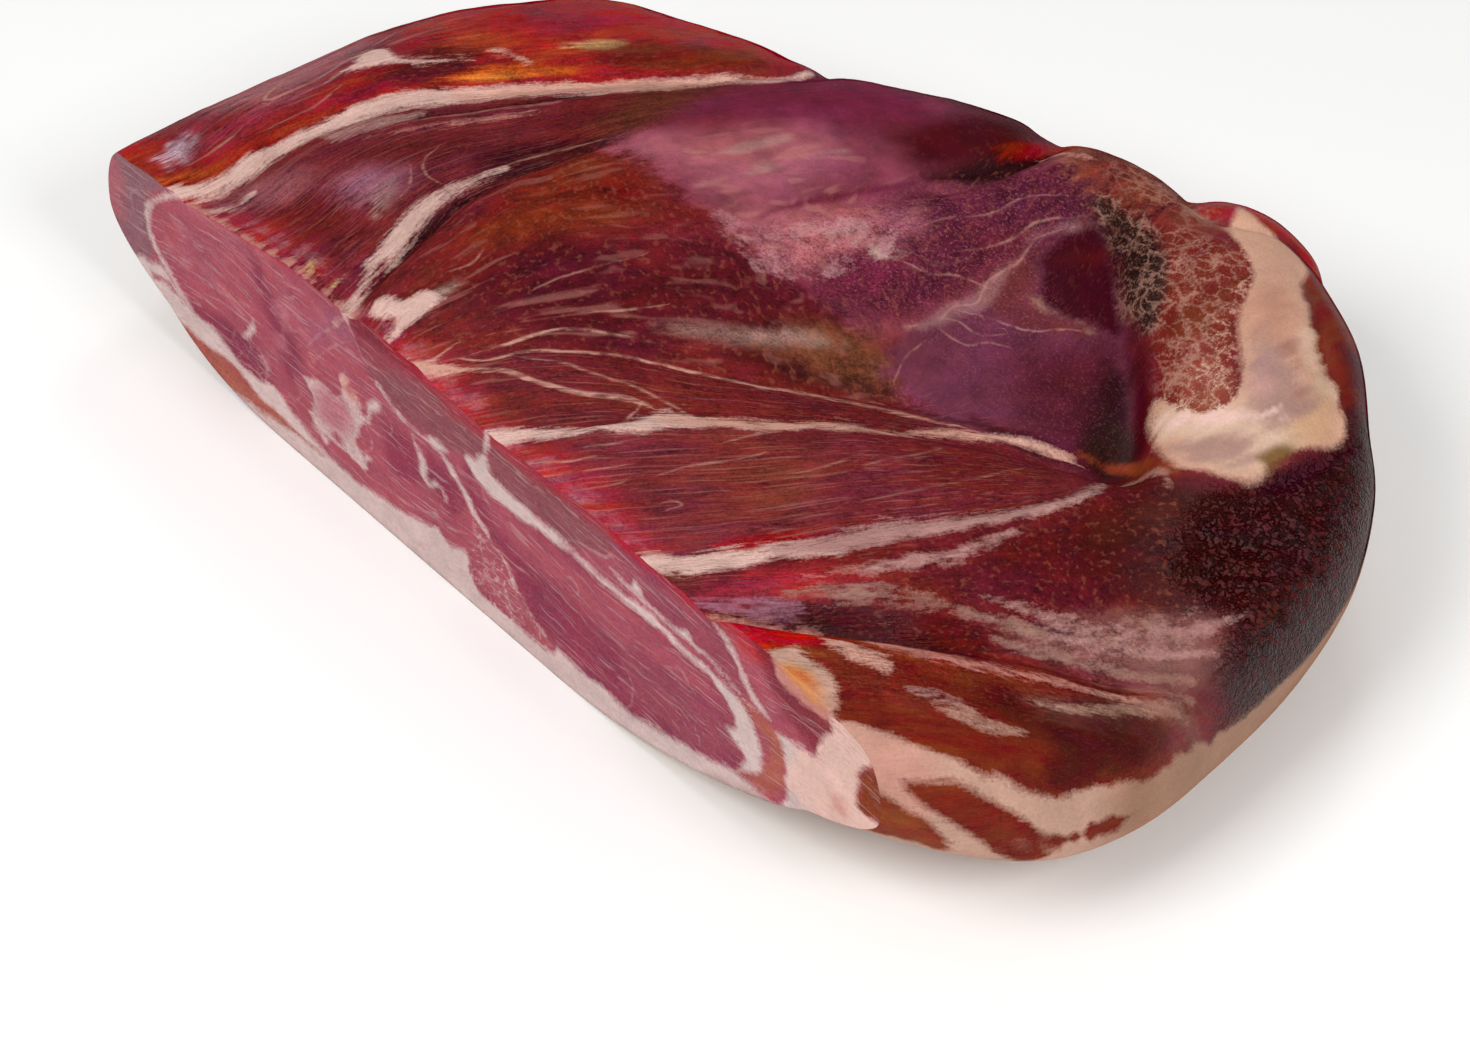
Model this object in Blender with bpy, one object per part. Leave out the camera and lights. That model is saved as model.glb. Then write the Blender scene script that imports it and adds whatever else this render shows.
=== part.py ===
"""Boneless cured shoulder ham, lying flat, with one straight knife cut along its front.

Blender 4.5, in metres, +Z up. The form is worked out in millimetres in a working frame:
x runs along the knife cut from left to right, y runs back from the cut, and z is up from
the surface that the ham lies on. The finished mesh is moved so that its origin is at the
middle of its resting side.
"""

import bmesh
import bpy
import numpy as np

# Driving dimensions

METRES_PER_MM = 0.001
HAM_NAME = "shoulder_ham"
COLLECTION_NAME = "boneless_shoulder_ham"

# The line where the body is widest, seen from above, as (x, y, height of the line)
LEFT_SIDE = [(-4, 0, 36), (-7, 24, 38), (-8, 52, 39), (-6, 76, 40), (-2, 98, 41)]
FAR_SIDE = [
    (9, 119, 42), (28, 144, 42), (52, 155, 42), (74, 162, 43), (90, 164, 44), (103, 171, 44),
    (124, 183, 45), (141, 190, 46), (151, 191, 46), (164, 198, 45), (180, 201, 45), (192, 201, 45),
    (201, 207, 44), (215, 211, 43), (230, 208, 43), (241, 201, 43), (262, 190, 42),
]
RIGHT_SIDE = [
    (280, 174, 40), (294, 161, 38), (307, 140, 34), (315, 113, 29), (319, 84, 26), (321, 58, 26),
    (317, 33, 29), (307, 13, 38), (294, 0, 46),
]
# The same line round the half that the knife took away, which still shapes the cut end
BEYOND_CUT = [(270, -20, 48), (215, -68, 34), (90, -90, 30), (10, -50, 32)]

# Heights that the top would have without its seams and hollows, as (x, y, z)
TOP_HEIGHTS = [
    (0, 0, 53), (50, 0, 61), (98, 0, 71), (125, 0, 65), (165, 0, 66), (205, 0, 67), (255, 0, 71),
    (290, 0, 62),
    (0, 50, 54), (50, 50, 61), (100, 50, 67), (150, 50, 68), (200, 50, 66), (250, 50, 64),
    (300, 50, 50),
    (0, 100, 54), (50, 100, 61), (100, 100, 66), (150, 100, 65), (200, 100, 63), (250, 100, 61),
    (300, 100, 48),
    (50, 150, 56), (100, 150, 62), (150, 150, 62), (200, 150, 62), (250, 150, 62), (300, 150, 50),
    (100, 200, 58), (150, 200, 58), (200, 200, 59), (250, 200, 60),
]
HEIGHT_REACH = 26.0
LEAST_WEIGHT = 1e-9

# Seams between muscles: (x, y, depth) along the line, then how far the valley reaches
# to the left of that run and to the right
SEAMS = {
    "flap seam": (
        [(33, -2, 1), (36, 10, 2), (33, 24, 2), (31, 42, 2), (38, 63, 2.2), (52, 88, 2.5),
         (66, 106, 2.5), (82, 126, 2.5), (92, 144, 3), (98, 156, 3.5), (94, 166, 3.5)], 2.0, 5.0),
    "shank seam": (
        [(104, -2, 3), (99, 5, 4.5), (95, 15, 5), (90, 30, 5), (84, 47, 5), (82, 59, 5),
         (84, 72, 4), (88, 86, 2.5), (91, 100, 1), (93, 112, 0)], 10.0, 2.2),
    "fan seam": (
        [(157, -2, 1.5), (166, 15, 2), (174, 29, 2.5), (186, 42, 2.5), (199, 56, 2.5),
         (213, 74, 3), (230, 92, 4), (246, 105, 5), (256, 112, 2)], 9.0, 3.0),
    "strip seam": (
        [(214, -2, 2), (222, 12, 2.5), (229, 23, 2.5), (237, 43, 2.5), (247, 66, 2.5),
         (253, 86, 2), (259, 104, 1), (264, 114, 0)], 4.0, 5.0),
    "lobe crevice": (
        [(235, -2, 4), (243, 6, 6), (251, 14, 8), (259, 23, 9), (267, 32, 8), (276, 43, 6),
         (288, 54, 3.5), (300, 63, 2), (310, 72, 0)], 7.0, 2.2),
    "bed wall": (
        [(172, 182, 1), (182, 176, 3), (192, 169, 6), (205, 159, 8), (220, 147, 9),
         (235, 136, 9), (248, 124, 8), (257, 117, 4), (262, 113, 0)], 4.0, 15.0),
    "far notch": (
        [(152, 196, 4), (159, 182, 5), (160, 168, 4.5), (158, 154, 4), (152, 138, 2.5),
         (146, 120, 1), (141, 104, 0)], 2.5, 4.0),
    "hidden lobe": (
        [(190, 203, 4), (196, 196, 4), (206, 191, 4), (215, 193, 4), (224, 199, 3),
         (233, 201, 3), (240, 203, 4)], 5.0, 1.8),
    "rim seam": (
        [(234, 194, 1), (247, 187, 2), (262, 174, 2), (278, 163, 2), (284, 150, 1.5),
         (282, 138, 0)], 3.0, 3.0),
}

# Half the width of a seam's rounded floor
SEAM_FLOOR = 1.5

# Broad swellings and hollows: x, y, long half width, short half width, turn in degrees, rise
MOUNDS = [
    (214, 124, 34, 22, -20, -6),
    (251, 116, 8, 5, -40, -5),
    (128, 44, 34, 26, 60, 2),
    (60, 45, 30, 14, 75, -2),
    (248, 165, 34, 12, -42, 4),
    (285, 28, 30, 14, 40, 3),
    (16, 60, 50, 9, 85, 2),
]

# How the edges round over
TOP_ROUNDING = 26.0
TOP_ROUNDING_RIGHT_END = 13.0
TOP_ROUNDING_LEFT_CORNER = 8.0
TOP_ROUNDING_RIGHT_CORNER = 6.0
UNDERSIDE_ROUNDING = 60.0
UNDERSIDE_ROUNDING_CUT_END = 80.0
UNDERSIDE_ROUNDING_FAR_RIGHT = 42.0
UNDERSIDE_POWER = 1.6
UNDERSIDE_POWER_FAR_RIGHT = 2.0
TOP_POWER = 2.0
TOP_POWER_RIGHT_END = 2.4

# Where one rounding passes into the next: along x for an end, back along y for the cut's side
RIGHT_END = (150, 300)
CUT_END = (110, 230)
CUT_SIDE = (120, 20)
LEFT_CORNER = (60, 0)
RIGHT_CORNER = (250, 290)
RIGHT_CORNER_SIDE = (40, 0)

# The underside is evened out along the net, and is flat where it comes this near to the ground
UNDERSIDE_PASSES = 60
FLAT_BELOW = 0.15

# Steps of the net that is laid over the body, and what is left after thinning it out
EDGE_STEPS = 16
ACROSS_STEPS = 140
BACK_STEPS = 96
CUT_STEPS = 20
EDGE_SHARE = 0.08
KEPT_SHARE = 0.13
SEW_DISTANCE = 0.00001
LINE_STEPS = 6

# Finish of the cured meat
MEAT_COLOUR = (0.30, 0.055, 0.045, 1.0)
MEAT_ROUGHNESS = 0.45


def smooth_line(points, steps=LINE_STEPS):
    """A flowing line through the points."""
    p = np.array(points, float)
    before = np.vstack([2 * p[0] - p[1], p[:-1]])
    after = np.vstack([p[1:], 2 * p[-1] - p[-2]])
    slope = (after - before) / 2
    t = np.linspace(0, 1, steps, endpoint=False)[:, None]
    pieces = []
    for start, end, leave, arrive in zip(p[:-1], p[1:], slope[:-1], slope[1:]):
        pieces.append((1 + 2 * t) * (1 - t) ** 2 * start + t * (1 - t) ** 2 * leave
                      + t * t * (3 - 2 * t) * end + t * t * (t - 1) * arrive)
    pieces.append(p[-1:])
    return np.concatenate(pieces)


def nearest(x, y, line):
    """Distance to a line, positive on the left of its run, and the line's third value there."""
    best = np.full(x.shape, np.inf)
    side = np.zeros(x.shape)
    value = np.zeros(x.shape)
    for a, b in zip(line[:-1], line[1:]):
        run = b - a
        share = ((x - a[0]) * run[0] + (y - a[1]) * run[1]) / (run[0] ** 2 + run[1] ** 2)
        share = np.clip(share, 0, 1)
        gap = (x - a[0] - share * run[0]) ** 2 + (y - a[1] - share * run[1]) ** 2
        near = gap < best
        best = np.where(near, gap, best)
        side = np.where(near, np.sign(run[0] * (y - a[1]) - run[1] * (x - a[0])), side)
        value = np.where(near, a[2] + share * run[2], value)
    return np.sqrt(best) * side, value


def ease(low, high, value):
    """0 up to low, 1 from high on, and smooth between them."""
    share = np.clip((value - low) / (high - low), 0, 1)
    return share * share * (3 - 2 * share)


def arch(share, power):
    """Rises steeply from 0 and flattens out at 1."""
    share = np.clip(share, 0, 1)
    return (1 - (1 - share) ** power) ** (1 / power)


def crown_height(x, y):
    """The top's height without seams and hollows."""
    total = np.zeros(x.shape)
    weight = np.full(x.shape, LEAST_WEIGHT)
    for px, py, pz in TOP_HEIGHTS:
        near = np.exp(-((x - px) ** 2 + (y - py) ** 2) / (2 * HEIGHT_REACH ** 2))
        total += near * pz
        weight += near
    return total / weight


def seam_depth(x, y):
    """How deep the seams between the muscles cut in."""
    depth = np.zeros(x.shape)
    for points, left_reach, right_reach in SEAMS.values():
        distance, line_depth = nearest(x, y, smooth_line(points))
        reach = np.where(distance > 0, left_reach, right_reach)
        rounded = np.hypot(distance, SEAM_FLOOR) - SEAM_FLOOR
        depth += line_depth * np.exp(-rounded / reach)
    return depth


def mound_height(x, y):
    """The broad swellings and hollows of the top."""
    height = np.zeros(x.shape)
    for px, py, long_half, short_half, turn, rise in MOUNDS:
        angle = np.radians(turn)
        along = (x - px) * np.cos(angle) + (y - py) * np.sin(angle)
        across = (y - py) * np.cos(angle) - (x - px) * np.sin(angle)
        height += rise * np.exp(-0.5 * ((along / long_half) ** 2 + (across / short_half) ** 2))
    return height


def widest_line():
    """The closed line where the body is widest, starting at the cut's left end."""
    return smooth_line(LEFT_SIDE + FAR_SIDE + RIGHT_SIDE + BEYOND_CUT + LEFT_SIDE[:1])


def body_surfaces(x, y):
    """Heights of the top and of the underside at places in the plan."""
    distance, widest = nearest(x, y, widest_line())
    distance = np.abs(distance)
    right_end = ease(*RIGHT_END, x)
    near_cut = ease(*CUT_SIDE, y)
    left_corner = ease(*LEFT_CORNER, x) * ease(*LEFT_CORNER, y)
    right_corner = ease(*RIGHT_CORNER, x) * ease(*RIGHT_CORNER_SIDE, y)
    top_reach = TOP_ROUNDING + (TOP_ROUNDING_RIGHT_END - TOP_ROUNDING) * right_end
    top_reach += (TOP_ROUNDING_LEFT_CORNER - TOP_ROUNDING) * left_corner
    top_reach += (TOP_ROUNDING_RIGHT_CORNER - TOP_ROUNDING_RIGHT_END) * right_corner
    crown = crown_height(x, y) + mound_height(x, y) - seam_depth(x, y)
    top_power = TOP_POWER + (TOP_POWER_RIGHT_END - TOP_POWER) * right_end
    top = widest + (crown - widest) * arch(distance / top_reach, top_power)
    cut_end = ease(*CUT_END, x) * near_cut
    far_right = right_end * (1 - near_cut)
    low_reach = UNDERSIDE_ROUNDING + (UNDERSIDE_ROUNDING_CUT_END - UNDERSIDE_ROUNDING) * cut_end
    low_reach += (UNDERSIDE_ROUNDING_FAR_RIGHT - UNDERSIDE_ROUNDING) * far_right
    low_power = UNDERSIDE_POWER + (UNDERSIDE_POWER_FAR_RIGHT - UNDERSIDE_POWER) * far_right
    low = widest * (1 - arch(distance / low_reach, low_power))
    return top, low


def edge_steps(middle_steps, start, end):
    """Shares from 0 to 1 with even steps round a rounded start or end, and even steps between."""
    quarter = EDGE_SHARE * (1 - np.cos(np.linspace(0, np.pi / 2, EDGE_STEPS + 1)))
    first = quarter if start else np.zeros(1)
    last = 1 - quarter[::-1] if end else np.ones(1)
    middle = np.linspace(first[-1], last[0], middle_steps + 1)
    return np.concatenate([first, middle[1:-1], last])


def along_line(line, shares):
    """Plan positions at the given shares of a line's length."""
    steps = np.hypot(*np.diff(line[:, :2], axis=0).T)
    length = np.concatenate([[0], np.cumsum(steps)])
    return np.stack([np.interp(shares, length / length[-1], line[:, k]) for k in (0, 1)], -1)


def plan_net():
    """Plan positions of a net between the knife cut and the widest line."""
    u = edge_steps(ACROSS_STEPS, True, True)
    v = edge_steps(BACK_STEPS, False, True)
    far_start = len(LEFT_SIDE) * LINE_STEPS
    far_end = far_start + (len(FAR_SIDE) - 1) * LINE_STEPS
    right_end = far_end + len(RIGHT_SIDE) * LINE_STEPS
    line = widest_line()[:right_end + 1]
    left = along_line(line[:far_start + 1], v)
    far = along_line(line[far_start:far_end + 1], u)
    right = along_line(line[far_end:][::-1], v)
    front = along_line(line[[0, -1]], u)
    share_u = u[:, None, None]
    share_v = v[None, :, None]
    sides = (1 - share_u) * left[None] + share_u * right[None]
    ends = (1 - share_v) * front[:, None] + share_v * far[:, None]
    corners = (1 - share_u) * ((1 - share_v) * front[0] + share_v * far[0])
    corners = corners + share_u * ((1 - share_v) * front[-1] + share_v * far[-1])
    net = sides + ends - corners
    return net[..., 0], net[..., 1]


def even_out(heights, passes):
    """Average each inner height of a net, and its front row, with the heights beside it."""
    soft = heights.copy()
    for _ in range(passes):
        beside = (soft[:-2] + soft[2:]) / 2
        inner = (beside[:, 1:-1] + (soft[1:-1, :-2] + soft[1:-1, 2:]) / 2) / 2
        soft[1:-1, 0] = (beside[:, 0] + soft[1:-1, 0]) / 2
        soft[1:-1, 1:-1] = inner
    return soft


def body_sheets():
    """The top, the underside and the cut face, each as a net of points in millimetres."""
    x, y = plan_net()
    top, low = body_surfaces(x, y)
    low = even_out(low, UNDERSIDE_PASSES)
    low = np.where(low < FLAT_BELOW, 0, low)
    rise = np.linspace(0, 1, CUT_STEPS + 1)
    cut_x = np.repeat(x[:, :1], CUT_STEPS + 1, axis=1)
    cut_z = low[:, :1] + (top[:, :1] - low[:, :1]) * rise
    return [
        np.stack([x, y, top], -1),
        np.stack([x, y, low], -1),
        np.stack([cut_x, np.zeros_like(cut_x), cut_z], -1),
    ]


# Blender objects

def clear_scene():
    """Remove the objects that the scene holds."""
    for old in list(bpy.data.objects):
        bpy.data.objects.remove(old, do_unlink=True)


def add_sheet(bm, net):
    """Lay one flat grid out over a net of points."""
    across, back = net.shape[:2]
    verts = bmesh.ops.create_grid(bm, x_segments=across - 1, y_segments=back - 1, size=0.5)["verts"]
    for vert in verts:
        i = round((vert.co.x + 0.5) * (across - 1))
        j = round((vert.co.y + 0.5) * (back - 1))
        vert.co = net[i, j] * METRES_PER_MM


def settle(mesh):
    """Press the resting side flat and put the origin at its middle."""
    bm = bmesh.new()
    bm.from_mesh(mesh)
    places = np.array([vert.co for vert in bm.verts])
    low, high = places.min(axis=0), places.max(axis=0)
    middle = (low + high) / 2
    for vert in bm.verts:
        if vert.co.z < FLAT_BELOW * METRES_PER_MM:
            vert.co.z = 0
    bmesh.ops.translate(bm, verts=bm.verts, vec=(-middle[0], -middle[1], 0))
    bm.to_mesh(mesh)
    bm.free()
    mesh.shade_smooth()


def make_ham(collection):
    """The whole ham as one closed body."""
    bm = bmesh.new()
    for net in body_sheets():
        add_sheet(bm, net)
    bmesh.ops.remove_doubles(bm, verts=bm.verts, dist=SEW_DISTANCE)
    bmesh.ops.recalc_face_normals(bm, faces=bm.faces)
    mesh = bpy.data.meshes.new(HAM_NAME)
    bm.to_mesh(mesh)
    bm.free()
    ham = bpy.data.objects.new(HAM_NAME, mesh)
    collection.objects.link(ham)
    thinner = ham.modifiers.new("thin out flat places", "DECIMATE")
    thinner.ratio = KEPT_SHARE
    bpy.context.view_layer.objects.active = ham
    bpy.ops.object.modifier_apply(modifier=thinner.name)
    settle(ham.data)
    return ham


def make_meat_material():
    """Cured meat: dark red, slightly glossy with its own fat."""
    material = bpy.data.materials.new("cured_meat")
    material.use_nodes = True
    surface = material.node_tree.nodes["Principled BSDF"]
    surface.inputs["Base Color"].default_value = MEAT_COLOUR
    surface.inputs["Roughness"].default_value = MEAT_ROUGHNESS
    surface.inputs["Metallic"].default_value = 0.0
    return material


def main():
    """Build the ham in its own collection."""
    clear_scene()
    collection = bpy.data.collections.new(COLLECTION_NAME)
    bpy.context.scene.collection.children.link(collection)
    ham = make_ham(collection)
    ham.data.materials.append(make_meat_material())


main()
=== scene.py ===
"""Looks of a boneless cured shoulder ham that lies flat, with one knife cut along its front.

The form and the painting are worked out in millimetres in a working frame: x runs along the
knife cut from left to right, y runs back from the cut, and z is up from the resting side.
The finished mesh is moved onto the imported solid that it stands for.
"""

import copy
import logging
from dataclasses import dataclass
from enum import Enum
from functools import partial

import bmesh
import bpy
import numpy as np
from mathutils import Matrix, Vector
from numpy.typing import NDArray


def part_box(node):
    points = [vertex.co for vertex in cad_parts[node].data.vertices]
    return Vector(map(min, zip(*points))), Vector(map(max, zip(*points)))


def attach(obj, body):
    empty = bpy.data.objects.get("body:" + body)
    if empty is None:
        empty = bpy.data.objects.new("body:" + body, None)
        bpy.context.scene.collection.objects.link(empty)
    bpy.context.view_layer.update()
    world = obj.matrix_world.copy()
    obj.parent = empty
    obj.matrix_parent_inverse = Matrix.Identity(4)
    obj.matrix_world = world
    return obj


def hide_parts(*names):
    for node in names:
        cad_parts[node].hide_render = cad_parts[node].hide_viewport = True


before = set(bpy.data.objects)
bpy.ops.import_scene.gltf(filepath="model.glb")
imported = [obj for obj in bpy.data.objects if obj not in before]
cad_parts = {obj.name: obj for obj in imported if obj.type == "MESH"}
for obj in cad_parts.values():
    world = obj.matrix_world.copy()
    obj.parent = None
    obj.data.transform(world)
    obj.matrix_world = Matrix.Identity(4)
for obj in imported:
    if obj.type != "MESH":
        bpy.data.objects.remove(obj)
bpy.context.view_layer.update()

Values = NDArray[np.float64]
Points = tuple[tuple[float, ...], ...]
Source = bpy.types.NodeSocket | float | tuple[float, ...]

METRES_PER_MM = 0.001
NODE = "shoulder_ham"
BODY = "root"
PIECE = "ham"
LINE_STEPS = 6
CURVE_STEPS = 4
SHAPE_MARGIN = 2.5
THREAD_MARGIN = 3.0
CHANNELS = 3
FAR_AWAY = 50.0
KEPT_REACH = 4.0
FAT_STARTS = -0.8
FAT_COVERS = 1.2
ABOVE_ALL = 1000.0
SEWN_WITHIN = 0.02
PRIMES = (374761393, 668265263, 974634777, 1274126177)

log = logging.getLogger("ham")


class Tone(Enum):
    """Colours of meat and fat as the eye sees them, and dark tones of painted shade, in sRGB."""

    BRICK = "#702529"
    MAROON = "#58181F"
    WINE = "#480E1A"
    BLACK_RED = "#2A0A10"
    BROWN_RED = "#74291F"
    RUST = "#85402C"
    GOLDEN_GRAIN = "#96503A"
    OLIVE_BROWN = "#6C3F2C"
    CRIMSON = "#B43A46"
    SCARLET = "#C42F29"
    FLAP_RED = "#9C2C2F"
    BRIGHT_RED = "#A01F1E"
    FLAP_PINK = "#AE6C74"
    EMBER = "#A8432F"
    ORANGE = "#CC6838"
    APRICOT = "#D98E50"
    MUTED_RED = "#7A2F38"
    LAVENDER = "#A2697C"
    MAUVE = "#85414F"
    ROSE_MAUVE = "#A8626C"
    MAGENTA = "#722A40"
    STRIP_RED = "#5C2234"
    FILM_MAUVE = "#B98A8C"
    DEEP_PLUM = "#3E0A19"
    BED = "#70374A"
    # Painted shade in the blade bed's deep corner
    PLUM_SHADE = "#2A0C12"
    TAN = "#94604A"
    FASCIA = "#74332A"
    LACE_TAN = "#B08272"
    BONE_RED = "#742A20"
    BONE_PINK = "#A4604E"
    PATCH_BROWN = "#6C3238"
    LEATHER = "#420F0F"
    # Painted shade: in the bed's deepest corner and along the foot of its wall, and down the lobe crevice
    POCKET_SHADE = "#2C1612"
    CREVICE_SHADE = "#560E17"
    LIP = "#9C7468"
    CORNER_FAT = "#C79D8A"
    RIM_FAT = "#A87E66"
    HAZE = "#94736A"
    PALE_HAZE = "#B2948A"
    CREAM = "#E2BAAE"
    WARM_CREAM = "#D8A290"
    GREY_CREAM = "#B58680"
    GREY_FAT = "#A07B72"
    YELLOW_FAT = "#CCA571"
    PINK_FAT = "#C88478"
    CARTILAGE = "#CB9C84"
    CARTILAGE_GREY = "#A98276"
    PALE_CARTILAGE = "#D2AF98"
    OLIVE_FAT = "#7C5A30"
    IVORY = "#D6BCAE"
    STAR = "#BFA0AC"
    CUT_ROSE = "#AE606C"
    CUT_MAUVE = "#9C5563"
    CUT_DEEP = "#94485A"
    CUT_GREY = "#91575E"
    CUT_PINK = "#B7707B"
    CUT_FAT = "#D3BAB6"
    CUT_STRIP = "#936870"
    CUT_BROWN = "#B26B62"

    @property
    def rgba(self) -> tuple[float, ...]:
        """Give the colour in linear light, without transparency."""
        return (*linear(self.value), 1.0)


class Layer(Enum):
    """What a shape changes on the side that it is painted on."""

    # The meat's colour also carries painted shade in creases, pockets and the crevice, and a few painted
    # highlights
    TINT = "colour of the meat"
    FAT = "fat that covers the meat"
    FAT_TINT = "colour of the fat"
    BARE = "meat that shows through the fat"
    LACE = "net of fine fat threads"
    MARBLING = "fine pale threads along the fibres"
    GRIT = "pale and dark grains"
    LEATHER = "dried, wrinkled skin"
    GLOSS = "greasy shine"
    SMOOTH = "meat without visible fibres"
    GROOVE = "sunk line, its strength in millimetres"


def linear(code: str) -> tuple[float, float, float]:
    """Turn an sRGB hex colour to linear light.

    Args:
        code: The colour as #RRGGBB.

    Returns:
        Red, green and blue in linear light.
    """
    shares = [int(code[i:i + 2], 16) / 255 for i in (1, 3, 5)]
    return tuple(v / 12.92 if v <= 0.04045 else ((v + 0.055) / 1.055) ** 2.4 for v in shares)


def ease(low: float, high: float, value: Values) -> Values:
    """Rise smoothly from 0 at low to 1 at high."""
    share = np.clip((value - low) / (high - low), 0, 1)
    return share * share * (3 - 2 * share)


def arch(share: Values, power: Values | float) -> Values:
    """Rise steeply from 0 and flatten out at 1."""
    share = np.clip(share, 0, 1)
    return (1 - (1 - share) ** power) ** (1 / power)


def smooth_line(points: Points, steps: int = LINE_STEPS) -> Values:
    """Draw a flowing line through points.

    Args:
        points: The points, each with as many values as the line has.
        steps: How many steps join one point to the next.

    Returns:
        The line's points, one a row.
    """
    p = np.array(points, float)
    before = np.vstack([2 * p[0] - p[1], p[:-1]])
    after = np.vstack([p[1:], 2 * p[-1] - p[-2]])
    slope = (after - before) / 2
    t = np.linspace(0, 1, steps, endpoint=False)[:, None]
    pieces = []
    for start, end, leave, arrive in zip(p[:-1], p[1:], slope[:-1], slope[1:]):
        pieces.append((1 + 2 * t) * (1 - t) ** 2 * start + t * (1 - t) ** 2 * leave
                      + t * t * (3 - 2 * t) * end + t * t * (t - 1) * arrive)
    pieces.append(p[-1:])
    return np.concatenate(pieces)


def nearest(x: Values, y: Values, line: Values) -> tuple[Values, Values]:
    """Measure how far places are from a line.

    Args:
        x: First direction of the places.
        y: Second direction of the places.
        line: The line's points, with a third value each.

    Returns:
        The distance, positive on the left of the line's run, and the line's third value there.
    """
    best = np.full(x.shape, np.inf)
    side = np.zeros(x.shape)
    value = np.zeros(x.shape)
    for a, b in zip(line[:-1], line[1:]):
        run = b - a
        share = ((x - a[0]) * run[0] + (y - a[1]) * run[1]) / (run[0] ** 2 + run[1] ** 2)
        share = np.clip(share, 0, 1)
        gap = (x - a[0] - share * run[0]) ** 2 + (y - a[1] - share * run[1]) ** 2
        near = gap < best
        best = np.where(near, gap, best)
        side = np.where(near, np.sign(run[0] * (y - a[1]) - run[1] * (x - a[0])), side)
        value = np.where(near, a[2] + share * run[2], value)
    return np.sqrt(best) * side, value


def inside(x: Values, y: Values, outline: Values) -> NDArray[np.bool_]:
    """Tell which places lie within a closed outline."""
    within = np.zeros(x.shape, bool)
    for a, b in zip(outline, np.roll(outline, -1, axis=0)):
        crosses = (a[1] > y) != (b[1] > y)
        rise = b[1] - a[1] if b[1] != a[1] else 1.0
        within ^= crosses & (x < a[0] + (y - a[1]) * (b[0] - a[0]) / rise)
    return within


def places_near(a: Values, b: Values, line: Values, margin: float) -> NDArray[np.int64]:
    """Number the places in the box round a line, with a margin."""
    low, high = line[:, :2].min(axis=0) - margin, line[:, :2].max(axis=0) + margin
    return np.flatnonzero((a > low[0]) & (a < high[0]) & (b > low[1]) & (b < high[1]))


def rough(x: Values, y: Values, size: float, seed: int, octaves: int = 3) -> Values:
    """Make uneven values that repeat each run.

    Args:
        x: First direction of the places, in millimetres.
        y: Second direction of the places.
        size: Width of the largest lumps, in millimetres.
        seed: Number of the pattern.
        octaves: How many finer patterns are laid over each other.

    Returns:
        Values from about -1 to 1.
    """
    total = np.zeros(x.shape)
    for octave in range(octaves):
        u, v = x / size * 2 ** octave, y / size * 2 ** octave
        i, j = np.floor(u).astype(np.int64), np.floor(v).astype(np.int64)
        su, sv = ease(0, 1, u - i), ease(0, 1, v - j)
        corner = {}
        for di, dj in ((0, 0), (1, 0), (0, 1), (1, 1)):
            mix = (i + di) * PRIMES[0] + (j + dj) * PRIMES[1] + (seed + octave) * PRIMES[2]
            mix = mix & 0xFFFFFFFF
            mix = ((mix ^ (mix >> 13)) * PRIMES[3]) & 0xFFFFFFFF
            corner[di, dj] = ((mix ^ (mix >> 16)) & 0xFFFF) / 32767.5 - 1
        near = corner[0, 0] * (1 - su) + corner[1, 0] * su
        far = corner[0, 1] * (1 - su) + corner[1, 1] * su
        total += (near * (1 - sv) + far * sv) * 0.5 ** octave
    return total


@dataclass(frozen=True)
class Shape:
    """Something painted on a side, in millimetres.

    A closed shape's points are its outline. An open one is a band along its points, whose
    third value is half the band's width there. Fat of a strength below 1 is a thin film.
    """

    layer: Layer
    tone: Tone | None
    points: Points
    feather: float = 1.5
    strength: float = 1.0
    ragged: float = 0.8
    closed: bool = True

    def depth(self, a: Values, b: Values) -> tuple[NDArray[np.int64], Values]:
        """Measure how far places lie inside the shape.

        Args:
            a: First direction of the places.
            b: Second direction of the places.

        Returns:
            The numbers of the places near the shape, and how far inside its edge each lies.
        """
        points = [p + (0.0,) for p in self.points + self.points[:1]] if self.closed else self.points
        line = smooth_line(points, CURVE_STEPS)
        near = places_near(a, b, line, self.feather + self.ragged + line[:, 2].max() + SHAPE_MARGIN)
        distance, half_width = nearest(a[near], b[near], line)
        distance = np.abs(distance)
        if self.closed:
            within = inside(a[near], b[near], line[:-1])
            return near, np.where(within, distance, -distance)
        return near, half_width - distance


def patch(layer: Layer, tone: Tone | None, *points: tuple[float, float], **how: float) -> Shape:
    """Name a closed shape."""
    return Shape(layer, tone, points, **how)


def band(layer: Layer, tone: Tone | None, *points: tuple[float, float, float], **how: float) -> Shape:
    """Name a band along a line."""
    return Shape(layer, tone, points, closed=False, **how)


def stroke(layer: Layer, tone: Tone | None, half_width: float, *points: tuple[float, float],
           **how: float) -> Shape:
    """Name a band of one width that tapers to its ends."""
    return Shape(layer, tone, tapered(points, half_width), closed=False, **how)


def tapered(points: Points, half_width: float) -> Points:
    """Give points a third value, half the width of a line that tapers to its ends."""
    last = len(points) - 1
    return tuple((*p, half_width * (0.35 if i in (0, last) else 1.0)) for i, p in enumerate(points))


@dataclass(frozen=True)
class Thread:
    """A thin line of fat, or a dark crack, too fine for the mesh and drawn by the material.

    A strength below 0 makes it a dark line of painted shade in a crack.
    """

    channel: int
    strength: float
    half_width: float
    points: Points


def thread(channel: int, strength: float, half_width: float, *points: tuple[float, float]) -> Thread:
    """Name a thin line by its points."""
    return Thread(channel, strength, half_width, points)


Shapes = tuple[Shape, ...]
Threads = tuple[Thread, ...]


@dataclass(frozen=True)
class Painting:
    """What is painted on one side, from the ground up."""

    shapes: Shapes
    threads: Threads


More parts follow.
